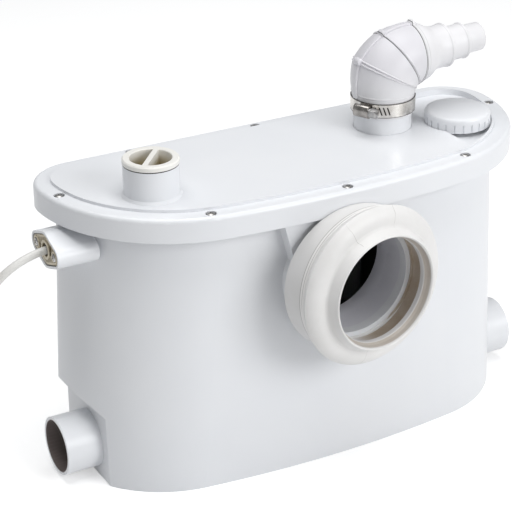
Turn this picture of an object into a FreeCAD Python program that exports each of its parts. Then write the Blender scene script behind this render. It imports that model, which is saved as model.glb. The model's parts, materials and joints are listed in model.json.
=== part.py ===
"""Sewage lifting station: tank and lid with inlets, discharge elbow, vent and service plug,
and the macerator pump, valves and controls that work inside it. Millimetres, +Z up, +X along the
tank, the closet inlet on -Y. The origin is on the floor under the middle of the tank."""
import FreeCAD, Part
import math
import os

import Sketcher

Vector = FreeCAD.Vector
Rotation = FreeCAD.Rotation

UP = Rotation()
ALONG_X = Rotation(Vector(0, 1, 0), 90)
AGAINST_X = Rotation(Vector(0, 1, 0), -90)
AGAINST_Y = Rotation(Vector(1, 0, 0), 90)
ALONG_Y = Rotation(Vector(1, 0, 0), -90)

document = FreeCAD.newDocument("LiftingStation")
sheet = document.addObject("Spreadsheet::Sheet", "Sizes")
parts = {}


class Size:
    """A length, count or angle: its value now, and the expression that keeps it current."""

    def __init__(self, value, text):
        self.value = float(value)
        self.text = text

    def __add__(self, other):
        other = as_size(other)
        return Size(self.value + other.value, "(%s + %s)" % (self.text, other.text))

    def __sub__(self, other):
        other = as_size(other)
        return Size(self.value - other.value, "(%s - %s)" % (self.text, other.text))

    def __mul__(self, other):
        other = as_size(other)
        return Size(self.value * other.value, "(%s * %s)" % (self.text, other.text))

    def __truediv__(self, other):
        other = as_size(other)
        return Size(self.value / other.value, "(%s / %s)" % (self.text, other.text))

    def __radd__(self, other):
        return as_size(other) + self

    def __rsub__(self, other):
        return as_size(other) - self

    def __rmul__(self, other):
        return as_size(other) * self

    def __neg__(self):
        return Size(-self.value, "(0 - %s)" % self.text)


def as_size(thing):
    """A plain number as a Size."""
    return thing if isinstance(thing, Size) else Size(thing, "(%r)" % float(thing))


def root(size):
    """Square root."""
    return Size(math.sqrt(size.value), "sqrt(%s)" % size.text)


def cosine(degrees):
    """Cosine of an angle in degrees."""
    return Size(math.cos(math.radians(degrees.value)), "cos(%s)" % degrees.text)


def sine(degrees):
    """Sine of an angle in degrees."""
    return Size(math.sin(math.radians(degrees.value)), "sin(%s)" % degrees.text)


# Driving sizes: millimetres, degrees for turns and bends, and counts
SIZES = {
    # Lid and tank
    "lid_length": 428.0,
    "lid_depth": 167.0,
    "front_radius": 934.0,
    "back_corner_radius": 41.8,
    "rim_height": 250.5,
    "skirt_height": 19.5,
    "lid_wall": 2.6,
    "lid_plate": 3.0,
    "seat_depth": 5.0,
    "rim_round": 3.5,
    "panel_rise": 2.4,
    "panel_inset": 14.0,
    "well_start": 127.0,
    "well_depth": 2.8,
    "well_ridge": 2.2,
    "gasket_thick": 2.0,
    "gasket_width": 8.0,
    "flange_inset": 4.2,
    "flange_thick": 4.0,
    "tank_wall": 3.0,
    "tank_top_inset": 15.4,
    "tank_top_tip": -2.3,
    "tank_base_inset": 18.5,
    "tank_base_tip": 12.3,
    "screw_inset": 8.4,
    "screw_spread": 117.0,
    "screw_shank_radius": 1.9,
    "screw_head_radius": 4.2,
    "screw_seat_depth": 1.6,
    "boss_drop": 9.0,
    "fit_gap": 0.3,
    "close_gap": 0.1,
    "run_gap": 0.03,
    "bore_run": 12.0,

    # Side inlets
    "spigot_radius": 25.0,
    "spigot_wall": 2.8,
    "spigot_y": 19.4,
    "spigot_z": 29.1,
    "spigot_end": 220.0,
    "recess_face": 189.0,
    "recess_top": 62.0,
    "recess_slope": 16.0,
    "flap_thick": 2.5,
    "flap_lap": 2.0,
    "pin_radius": 1.5,
    "knuckle_radius": 3.0,
    "knuckle_width": 20.0,
    "lug_thick": 3.0,
    "lug_reach": 6.0,

    # Closet inlet and its collar
    "closet_z": 176.0,
    "closet_bore_radius": 46.0,
    "closet_wall": 4.0,
    "closet_reach": 24.0,
    "collar_lean": 7.0,
    "cuff_radius": 62.3,
    "cuff_wall": 3.2,
    "cuff_start": 17.0,
    "cuff_length": 33.0,
    "closet_inset": 16.5,
    "sleeve_wall": 2.6,
    "ridge_radius": 65.4,
    "bulge_radius": 67.6,
    "bulge_reach": 40.0,
    "neck_radius": 51.7,
    "neck_reach": 48.0,
    "lip_radius": 46.5,
    "lip_wall": 2.4,
    "lip_reach": 58.0,
    "throat_radius": 44.3,
    "pad_half_width": 58.6,
    "pad_slope": 0.275,
    "pad_reach": 11.0,
    "pad_foot": 9.0,

    # Cable gland and cord
    "gland_y": 12.5,
    "gland_z": 211.7,
    "gland_end": 222.0,
    "gland_radius": 15.0,
    "gland_tip_radius": 9.0,
    "gland_spread": 17.5,
    "gland_rim": 2.0,
    "gland_deep": 9.0,
    "gland_sunk": 0.8,
    "gland_screw_radius": 1.6,
    "gland_head_radius": 3.6,
    "cord_radius": 3.3,
    "grommet_wall": 2.2,
    "grommet_reach": 5.0,

    # Mains cord
    "coil_radius": 43.0,
    "coil_turns": 2,
    "coil_gap": 0.6,
    "mains_plug_radius": 19.0,
    "mains_plug_deep": 23.0,
    "mains_plug_tail": 28.0,
    "mains_pin_radius": 2.4,
    "mains_pin_length": 17.0,
    "mains_pin_pitch": 19.0,

    # Service plug
    "plug_x": -141.8,
    "plug_y": -16.2,
    "plug_spigot_radius": 22.1,
    "plug_spigot_wall": 2.4,
    "plug_spigot_end": 278.6,
    "plug_seal_thick": 1.0,
    "plug_flange_radius": 22.5,
    "plug_flange_thick": 4.0,
    "plug_skirt": 16.0,
    "plug_cup_radius": 16.6,
    "plug_wall": 1.7,
    "grip_width": 4.2,
    "grip_turn": 49.0,

    # Vent
    "vent_x": 152.0,
    "vent_y": -5.0,
    "vent_boss_radius": 20.0,
    "vent_bore_radius": 17.0,
    "vent_boss_end": 259.0,
    "filter_thick": 7.0,
    "cap_radius": 28.0,
    "cap_wall": 2.0,
    "cap_skirt_low": 251.2,
    "cap_shoulder": 262.0,
    "cap_crown": 2.6,
    "cap_notches": 24,
    "cap_notch": 1.2,

    # Discharge
    "discharge_x": 91.0,
    "discharge_y": 17.6,
    "discharge_radius": 24.5,
    "discharge_wall": 3.0,
    "discharge_end": 282.0,
    "valve_flange_radius": 33.5,
    "valve_flange_thick": 3.5,
    "valve_radius": 29.5,
    "valve_wall": 3.0,
    "valve_seat_z": 208.0,
    "valve_seat_thick": 3.0,
    "valve_seat_bore": 15.0,
    "valve_flap_radius": 18.0,
    "valve_hinge": 22.0,
    "riser_radius": 16.0,
    "riser_wall": 2.5,
    "socket_deep": 16.0,

    # Elbow
    "elbow_cuff_radius": 26.5,
    "elbow_low": 267.0,
    "pivot_gap": 3.0,
    "pivot_z": 283.5,
    "elbow_bend": 87.0,
    "ring_one_radius": 29.3,
    "ring_two_radius": 28.0,
    "ring_three_radius": 25.5,
    "ring_proud": 0.9,
    "ring_thick": 2.2,
    "spine_width": 6.5,
    "spine_rise": 2.4,
    "knob_radius": 3.2,
    "bell_end": 19.0,
    "step_one_radius": 18.2,
    "step_one_end": 32.0,
    "step_two_radius": 14.8,
    "step_two_end": 50.0,
    "step_three_radius": 12.3,
    "step_three_end": 67.5,
    "step_lip": 0.8,
    "nozzle_wall": 2.3,

    # Hose clamp
    "band_low": 269.0,
    "band_width": 12.0,
    "band_thick": 0.8,
    "clamp_turn": 206.0,
    "housing_length": 13.0,
    "housing_depth": 7.5,
    "clamp_screw_radius": 2.6,
    "clamp_head_radius": 4.0,
    "clamp_head_length": 5.5,

    # Macerator pump
    "pump_y": 4.0,
    "pump_radius": 42.0,
    "pump_low": 6.0,
    "pump_floor": 3.0,
    "pump_wall": 3.0,
    "pump_top": 34.5,
    "foot_radius": 6.0,
    "outlet_z": 20.5,
    "outlet_reach": 14.0,
    "outlet_radius": 13.0,
    "suction_radius": 15.0,
    "basket_gap": 7.0,
    "basket_wall": 2.5,
    "basket_floor": 3.0,
    "basket_top": 96.0,
    "basket_slots": 18,
    "slot_width": 5.0,
    "slot_height": 22.0,
    "impeller_radius": 34.0,
    "impeller_disc": 2.5,
    "vane_height": 9.0,
    "vane_thick": 2.2,
    "vane_count": 6,
    "blade_length": 68.0,
    "blade_width": 13.0,
    "blade_thick": 3.0,
    "blade_z": 42.5,
    "shaft_radius": 5.0,
    "pillar_radius": 3.5,
    "pillar_circle": 46.0,
    "motor_low": 110.0,
    "motor_base_thick": 12.0,
    "motor_radius": 36.0,
    "motor_wall": 2.5,
    "motor_top": 212.0,
    "motor_cap_thick": 9.0,
    "bearing_radius": 11.0,
    "bearing_width": 7.0,
    "seal_radius": 9.0,
    "seal_width": 4.2,
    "stator_bore": 20.0,
    "stator_low": 136.0,
    "stator_height": 52.0,

    # Controls
    "box_left": -176.0,
    "box_length": 120.0,
    "box_front": 4.0,
    "box_depth": 44.0,
    "box_low": 172.0,
    "box_height": 60.0,
    "box_wall": 2.0,
    "shelf_height": 6.0,
    "bell_inset": 22.0,
    "bell_radius": 12.0,
    "bell_wall": 2.0,
    "bell_low": 14.0,
    "switch_radius": 17.0,
    "switch_height": 12.0,
    "plunger_radius": 2.4,
    "plunger_travel": 2.0,
    "capacitor_radius": 14.0,
    "capacitor_length": 48.0,
    "block_length": 32.0,
}


def driving(alias):
    """Writes one driving dimension into the sheet and returns it."""
    row = driving.count = driving.count + 1
    sheet.set("A%d" % row, alias)
    sheet.set("B%d" % row, str(SIZES[alias]))
    sheet.setAlias("B%d" % row, alias)
    return Size(SIZES[alias], "Sizes." + alias)


driving.count = 0

# Lid and tank
lid_length = driving("lid_length")
lid_depth = driving("lid_depth")
front_radius = driving("front_radius")
back_corner = driving("back_corner_radius")
rim_height = driving("rim_height")
skirt_height = driving("skirt_height")
lid_wall = driving("lid_wall")
lid_plate = driving("lid_plate")
seat_depth = driving("seat_depth")
rim_round = driving("rim_round")
panel_rise = driving("panel_rise")
panel_inset = driving("panel_inset")
well_start = driving("well_start")
well_depth = driving("well_depth")
well_ridge = driving("well_ridge")
gasket_thick = driving("gasket_thick")
gasket_width = driving("gasket_width")
flange_inset = driving("flange_inset")
flange_thick = driving("flange_thick")
tank_wall = driving("tank_wall")
tank_top_inset = driving("tank_top_inset")
tank_top_tip = driving("tank_top_tip")
tank_base_inset = driving("tank_base_inset")
tank_base_tip = driving("tank_base_tip")
screw_inset = driving("screw_inset")
screw_spread = driving("screw_spread")
screw_shank = driving("screw_shank_radius")
screw_head = driving("screw_head_radius")
screw_seat = driving("screw_seat_depth")
boss_drop = driving("boss_drop")
fit_gap = driving("fit_gap")
close_gap = driving("close_gap")
run_gap = driving("run_gap")
bore_run = driving("bore_run")

# Side inlets
spigot_radius = driving("spigot_radius")
spigot_wall = driving("spigot_wall")
spigot_y = driving("spigot_y")
spigot_z = driving("spigot_z")
spigot_end = driving("spigot_end")
recess_face = driving("recess_face")
recess_top = driving("recess_top")
recess_slope = driving("recess_slope")
flap_thick = driving("flap_thick")
flap_lap = driving("flap_lap")
pin_radius = driving("pin_radius")
knuckle_radius = driving("knuckle_radius")
knuckle_width = driving("knuckle_width")
lug_thick = driving("lug_thick")
lug_reach = driving("lug_reach")

# Closet inlet and its collar
closet_z = driving("closet_z")
closet_bore = driving("closet_bore_radius")
closet_wall = driving("closet_wall")
closet_reach = driving("closet_reach")
collar_lean = driving("collar_lean")
cuff_radius = driving("cuff_radius")
cuff_wall = driving("cuff_wall")
cuff_start = driving("cuff_start")
cuff_length = driving("cuff_length")
closet_inset = driving("closet_inset")
sleeve_wall = driving("sleeve_wall")
ridge_radius = driving("ridge_radius")
bulge_radius = driving("bulge_radius")
bulge_reach = driving("bulge_reach")
neck_radius = driving("neck_radius")
neck_reach = driving("neck_reach")
lip_radius = driving("lip_radius")
lip_wall = driving("lip_wall")
lip_reach = driving("lip_reach")
throat_radius = driving("throat_radius")
pad_half = driving("pad_half_width")
pad_slope = driving("pad_slope")
pad_reach = driving("pad_reach")
pad_foot = driving("pad_foot")

# Cable gland and cord
gland_y = driving("gland_y")
gland_z = driving("gland_z")
gland_end = driving("gland_end")
gland_radius = driving("gland_radius")
gland_tip = driving("gland_tip_radius")
gland_spread = driving("gland_spread")
gland_rim = driving("gland_rim")
gland_deep = driving("gland_deep")
gland_sunk = driving("gland_sunk")
gland_screw = driving("gland_screw_radius")
gland_head = driving("gland_head_radius")
cord_radius = driving("cord_radius")
grommet_wall = driving("grommet_wall")
grommet_reach = driving("grommet_reach")

# Mains cord
coil_radius = driving("coil_radius")
coil_turns = driving("coil_turns")
coil_gap = driving("coil_gap")
plug_body = driving("mains_plug_radius")
plug_deep = driving("mains_plug_deep")
plug_tail = driving("mains_plug_tail")
plug_pin = driving("mains_pin_radius")
plug_pin_length = driving("mains_pin_length")
plug_pitch = driving("mains_pin_pitch")

# Service plug
plug_x = driving("plug_x")
plug_y = driving("plug_y")
plug_spigot = driving("plug_spigot_radius")
plug_spigot_wall = driving("plug_spigot_wall")
plug_spigot_end = driving("plug_spigot_end")
plug_seal = driving("plug_seal_thick")
plug_flange = driving("plug_flange_radius")
plug_flange_thick = driving("plug_flange_thick")
plug_skirt = driving("plug_skirt")
plug_cup = driving("plug_cup_radius")
plug_wall = driving("plug_wall")
grip_width = driving("grip_width")
grip_turn = driving("grip_turn")

# Vent
vent_x = driving("vent_x")
vent_y = driving("vent_y")
vent_boss = driving("vent_boss_radius")
vent_bore = driving("vent_bore_radius")
vent_boss_end = driving("vent_boss_end")
filter_thick = driving("filter_thick")
cap_radius = driving("cap_radius")
cap_wall = driving("cap_wall")
cap_skirt_low = driving("cap_skirt_low")
cap_shoulder = driving("cap_shoulder")
cap_crown = driving("cap_crown")
cap_notches = driving("cap_notches")
cap_notch = driving("cap_notch")

# Discharge
discharge_x = driving("discharge_x")
discharge_y = driving("discharge_y")
discharge_radius = driving("discharge_radius")
discharge_wall = driving("discharge_wall")
discharge_end = driving("discharge_end")
valve_flange = driving("valve_flange_radius")
valve_flange_thick = driving("valve_flange_thick")
valve_radius = driving("valve_radius")
valve_wall = driving("valve_wall")
valve_seat_z = driving("valve_seat_z")
valve_seat_thick = driving("valve_seat_thick")
valve_seat_bore = driving("valve_seat_bore")
valve_flap = driving("valve_flap_radius")
valve_hinge = driving("valve_hinge")
riser_radius = driving("riser_radius")
riser_wall = driving("riser_wall")
socket_deep = driving("socket_deep")

# Elbow
elbow_cuff = driving("elbow_cuff_radius")
elbow_low = driving("elbow_low")
pivot_gap = driving("pivot_gap")
pivot_z = driving("pivot_z")
elbow_bend = driving("elbow_bend")
ring_one = driving("ring_one_radius")
ring_two = driving("ring_two_radius")
ring_three = driving("ring_three_radius")
ring_proud = driving("ring_proud")
ring_thick = driving("ring_thick")
spine_width = driving("spine_width")
spine_rise = driving("spine_rise")
knob_radius = driving("knob_radius")
bell_end = driving("bell_end")
step_one = driving("step_one_radius")
step_one_end = driving("step_one_end")
step_two = driving("step_two_radius")
step_two_end = driving("step_two_end")
step_three = driving("step_three_radius")
step_three_end = driving("step_three_end")
step_lip = driving("step_lip")
nozzle_wall = driving("nozzle_wall")

# Hose clamp
band_low = driving("band_low")
band_width = driving("band_width")
band_thick = driving("band_thick")
clamp_turn = driving("clamp_turn")
housing_length = driving("housing_length")
housing_depth = driving("housing_depth")
clamp_screw = driving("clamp_screw_radius")
clamp_head = driving("clamp_head_radius")
clamp_head_length = driving("clamp_head_length")

# Macerator pump
pump_y = driving("pump_y")
pump_radius = driving("pump_radius")
pump_low = driving("pump_low")
pump_floor = driving("pump_floor")
pump_wall = driving("pump_wall")
pump_top = driving("pump_top")
foot_radius = driving("foot_radius")
outlet_z = driving("outlet_z")
outlet_reach = driving("outlet_reach")
outlet_radius = driving("outlet_radius")
suction_radius = driving("suction_radius")
basket_radius = lid_depth / 2 - tank_base_inset - tank_wall - driving("basket_gap")
basket_wall = driving("basket_wall")
basket_floor = driving("basket_floor")
basket_top = driving("basket_top")
basket_slots = driving("basket_slots")
slot_width = driving("slot_width")
slot_height = driving("slot_height")
impeller_radius = driving("impeller_radius")
impeller_disc = driving("impeller_disc")
vane_height = driving("vane_height")
vane_thick = driving("vane_thick")
vane_count = driving("vane_count")
blade_length = driving("blade_length")
blade_width = driving("blade_width")
blade_thick = driving("blade_thick")
blade_z = driving("blade_z")
shaft_radius = driving("shaft_radius")
pillar_radius = driving("pillar_radius")
pillar_circle = driving("pillar_circle")
motor_low = driving("motor_low")
motor_base_thick = driving("motor_base_thick")
motor_radius = driving("motor_radius")
motor_wall = driving("motor_wall")
motor_top = driving("motor_top")
motor_cap_thick = driving("motor_cap_thick")
bearing_radius = driving("bearing_radius")
bearing_width = driving("bearing_width")
seal_radius = driving("seal_radius")
seal_width = driving("seal_width")
stator_bore = driving("stator_bore")
stator_low = driving("stator_low")
stator_height = driving("stator_height")

# Controls
box_left = driving("box_left")
box_length = driving("box_length")
box_front = driving("box_front")
box_depth = driving("box_depth")
box_low = driving("box_low")
box_height = driving("box_height")
box_wall = driving("box_wall")
shelf_height = driving("shelf_height")
bell_x = box_left + box_length - driving("bell_inset")
bell_y = box_front + box_depth / 2
bell_radius = driving("bell_radius")
bell_wall = driving("bell_wall")
bell_low = driving("bell_low")
switch_radius = driving("switch_radius")
switch_height = driving("switch_height")
plunger_radius = driving("plunger_radius")
plunger_travel = driving("plunger_travel")
capacitor_radius = driving("capacitor_radius")
capacitor_length = driving("capacitor_length")
block_length = driving("block_length")

document.recompute()


def bind(thing, name, size):
    """Ties one property of an object to a size."""
    thing.setExpression(name, as_size(size).text)


def place(thing, x, y, z, turn=UP):
    """Turns an object and ties its place to three sizes."""
    thing.Placement = FreeCAD.Placement(Vector(as_size(x).value, as_size(y).value, as_size(z).value), turn)
    bind(thing, "Placement.Base.x", x)
    bind(thing, "Placement.Base.y", y)
    bind(thing, "Placement.Base.z", z)
    return thing


def cylinder(name, radius, height, x, y, z, turn=UP):
    """A cylinder that starts at x, y, z and runs along the turned Z axis."""
    made = document.addObject("Part::Cylinder", name)
    bind(made, "Radius", radius)
    bind(made, "Height", height)
    return place(made, x, y, z, turn)


def cone(name, low_radius, high_radius, height, x, y, z, turn=UP):
    """A cone that starts at x, y, z and runs along the turned Z axis."""
    made = document.addObject("Part::Cone", name)
    bind(made, "Radius1", low_radius)
    bind(made, "Radius2", high_radius)
    bind(made, "Height", height)
    return place(made, x, y, z, turn)


def box(name, length, width, height, x, y, z, turn=UP):
    """A box with its low corner at x, y, z."""
    made = document.addObject("Part::Box", name)
    bind(made, "Length", length)
    bind(made, "Width", width)
    bind(made, "Height", height)
    return place(made, x, y, z, turn)


def fuse(name, *things):
    """The union of several objects."""
    made = document.addObject("Part::MultiFuse", name)
    made.Shapes = list(things)
    return made


def cut(name, base, *tools):
    """An object less one or more others."""
    made = document.addObject("Part::Cut", name)
    made.Base = base
    made.Tool = tools[0] if len(tools) == 1 else fuse(name + "_tools", *tools)
    return made


def common(name, one, other):
    """What two objects share."""
    made = document.addObject("Part::Common", name)
    made.Base = one
    made.Tool = other
    return made


def tube(name, radius, bore, height, x, y, z, turn=UP):
    """A plain tube."""
    outer = cylinder(name + "_outer", radius, height, x, y, z, turn)
    inner = cylinder(name + "_bore", bore, height, x, y, z, turn)
    return cut(name, outer, inner)


def draw(sketch, points):
    """Closed outline, counter-clockwise. A point is (x, y), or (x, y, radius) where an arc arrives
    there: a positive radius bulges out of the outline, a negative one into it."""
    ends = [(as_size(point[0]), as_size(point[1])) for point in points]
    for index, (x, y) in enumerate(ends):
        after = (index + 1) % len(points)
        start = Vector(x.value, y.value, 0)
        stop = Vector(ends[after][0].value, ends[after][1].value, 0)
        if len(points[after]) == 2:
            sketch.addGeometry(Part.LineSegment(start, stop), False)
        else:
            radius = as_size(points[after][2]).value
            run = stop - start
            half = run.Length / 2
            sagitta = abs(radius) - math.sqrt(radius * radius - half * half)
            side = Vector(run.y, -run.x, 0).normalize() * math.copysign(sagitta, radius)
            sketch.addGeometry(Part.Arc(start, (start + stop) / 2 + side, stop), False)
    count = len(points)
    near = [nearest_end(sketch, index, ends[index]) for index in range(count)]
    far = [3 - end for end in near]
    for index in range(count):
        before = (index - 1) % count
        sketch.addConstraint(Sketcher.Constraint("Coincident", before, far[before], index, near[index]))
        for kind, size in (("DistanceX", ends[index][0]), ("DistanceY", ends[index][1])):
            number = sketch.addConstraint(Sketcher.Constraint(kind, -1, 1, index, near[index], size.value))
            sketch.setExpression("Constraints[%d]" % number, size.text)
        if len(points[index]) == 3:
            number = sketch.addConstraint(Sketcher.Constraint("Radius", before, abs(as_size(points[index][2]).value)))
            size = as_size(points[index][2])
            sketch.setExpression("Constraints[%d]" % number, size.text if size.value > 0 else (-size).text)


def nearest_end(sketch, index, end):
    """Which end of an edge, 1 or 2, lies on a point."""
    where = Vector(end[0].value, end[1].value, 0)
    return 1 if (sketch.getPoint(index, 1) - where).Length < (sketch.getPoint(index, 2) - where).Length else 2


def new_sketch(body, name, plane, points, lift=None):
    """A sketch on one of its body's own planes, raised along its normal by a size."""
    sketch = body.newObject("Sketcher::SketchObject", name)
    face = [feature for feature in body.Origin.OriginFeatures if feature.Role == plane][0]
    sketch.AttachmentSupport = (face, [""])
    sketch.MapMode = "FlatFace"
    if lift is not None:
        sketch.AttachmentOffset = FreeCAD.Placement(Vector(0, 0, lift.value), UP)
        bind(sketch, "AttachmentOffset.Base.z", lift)
    draw(sketch, points)
    return sketch


def turned(name, points, x=0, y=0, z=0, turn=UP):
    """A body turned about its own Z axis from a (radius, height) outline."""
    body = document.addObject("PartDesign::Body", name)
    sketch = new_sketch(body, name + "_section", "XZ_Plane", points)
    revolution = body.newObject("PartDesign::Revolution", name + "_turn")
    revolution.Profile = sketch
    revolution.ReferenceAxis = (sketch, ["V_Axis"])
    revolution.Angle = 360.0
    return place(body, x, y, z, turn)


def plate(name, points, thick, x=0, y=0, z=0, turn=UP):
    """A body padded up from an (x, y) outline."""
    body = document.addObject("PartDesign::Body", name)
    pad = body.newObject("PartDesign::Pad", name + "_pad")
    pad.Profile = new_sketch(body, name + "_outline", "XY_Plane", points)
    bind(pad, "Length", thick)
    return place(body, x, y, z, turn)


def side_plate(name, points, low, high):
    """A body padded along Y, between two places, from an (x, z) outline."""
    body = document.addObject("PartDesign::Body", name)
    pad = body.newObject("PartDesign::Pad", name + "_pad")
    pad.Profile = new_sketch(body, name + "_outline", "XZ_Plane", points)
    bind(pad, "Length", as_size(high) - low)
    return place(body, 0, high, 0)


def rounded(name, base, radius, wanted):
    """Rounds the edges that a test picks."""
    document.recompute()
    made = document.addObject("Part::Fillet", name)
    made.Base = base
    picked = [number + 1 for number, edge in enumerate(base.Shape.Edges) if wanted(edge)]
    made.Edges = [(number, as_size(radius).value, as_size(radius).value) for number in picked]
    return made


def finish(name, made):
    """Makes an object the sub-part of that name."""
    made.Label = name
    parts[name] = made
    return made


def plan(inset, tip=0):
    """Plan outline of the unit drawn in by an inset, with its two ends moved out by a tip."""
    inset, tip = as_size(inset), as_size(tip)
    half = lid_length / 2 - inset + tip
    back = lid_depth / 2 - inset
    bow = front_radius - inset
    corner = back_corner - inset
    level = lid_depth / 2 - back_corner
    reach = front_radius + back_corner - lid_depth
    shoulder = (bow * bow - half * half - reach * reach) / (2 * (bow - half))
    centre = front_radius - lid_depth / 2
    meet_x = bow * (half - shoulder) / (bow - shoulder)
    meet_y = centre - bow * (centre - level) / (bow - shoulder)
    return [(-meet_x, meet_y, shoulder), (meet_x, meet_y, bow), (half, level, shoulder),
            (half - corner, back, corner), (corner - half, back), (-half, level, corner)]


def slab(name, inset, low, high, tip=0):
    """A plate of the plan outline between two heights."""
    return plate(name, plan(inset, tip), as_size(high) - low, z=low)


def tub(name, low, high, low_inset, low_tip, high_inset, high_tip):
    """A solid that runs from one plan outline up to another."""
    body = document.addObject("PartDesign::Body", name)
    below = new_sketch(body, name + "_below", "XY_Plane", plan(low_inset, low_tip), as_size(low))
    above = new_sketch(body, name + "_above", "XY_Plane", plan(high_inset, high_tip), as_size(high))
    loft = body.newObject("PartDesign::AdditiveLoft", name + "_loft")
    loft.Profile = below
    loft.Sections = [above]
    loft.Ruled = True
    return body


def front_at(x, inset):
    """Where the bowed front lies, in Y, at a distance along it."""
    bow = front_radius - inset
    return front_radius - lid_depth / 2 - root(bow * bow - as_size(x) * x)


roof_low = rim_height - lid_plate
plate_low = rim_height - seat_depth
flange_top = plate_low - gasket_thick
panel_top = rim_height + panel_rise
well_floor = rim_height - well_depth
skirt_low = rim_height - skirt_height
half_length = lid_length / 2
half_depth = lid_depth / 2

# Eight screw places round the rim: three at the front, three at the back and one at each end
end_screw_y = lid_depth / 2 - back_corner - 20.0
front_screw_y = front_at(screw_spread, screw_inset)
middle_screw_y = front_at(0, screw_inset)
back_screw_y = half_depth - screw_inset
screw_places = [(-screw_spread, front_screw_y), (0, middle_screw_y), (screw_spread, front_screw_y),
                (half_length - screw_inset - 2.0, end_screw_y), (screw_spread, back_screw_y),
                (0, back_screw_y), (-screw_spread, back_screw_y),
                (screw_inset + 2.0 - half_length, end_screw_y)]


def ring_of_cylinders(name, radius, low, high):
    """One cylinder at each lid screw, between two heights."""
    return fuse(name, *[cylinder("%s_%d" % (name, number), radius, as_size(high) - low, x, y, low)
                        for number, (x, y) in enumerate(screw_places)])


def end_cut(name, side, grow):
    """The solid that takes the foot off one end of the tank, drawn in by the wall for the inside."""
    face, top = (recess_face - grow) * side, recess_top + grow
    slope = recess_slope * side
    far = half_length * side * 1.2
    points = [(face, -10.0), (far, -10.0), (far, top + recess_slope), (face + slope, top + recess_slope), (face, top)]
    return side_plate(name, points if side > 0 else points[::-1], -lid_depth, lid_depth)


def oval(radius, tip, spread):
    """Two-bolt flange: a middle circle and two end circles joined by their common tangents."""
    lift = (radius - tip) / spread
    flat = root(1 - lift * lift)
    high_x, high_y = radius * lift, radius * flat
    end_x, end_y = spread + tip * lift, tip * flat
    return [(-high_x, -high_y), (high_x, -high_y, radius), (end_x, -end_y), (end_x, end_y, tip * 1.0001),
            (high_x, high_y), (-high_x, high_y, radius), (-end_x, end_y), (-end_x, -end_y, tip * 1.0001)]


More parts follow.
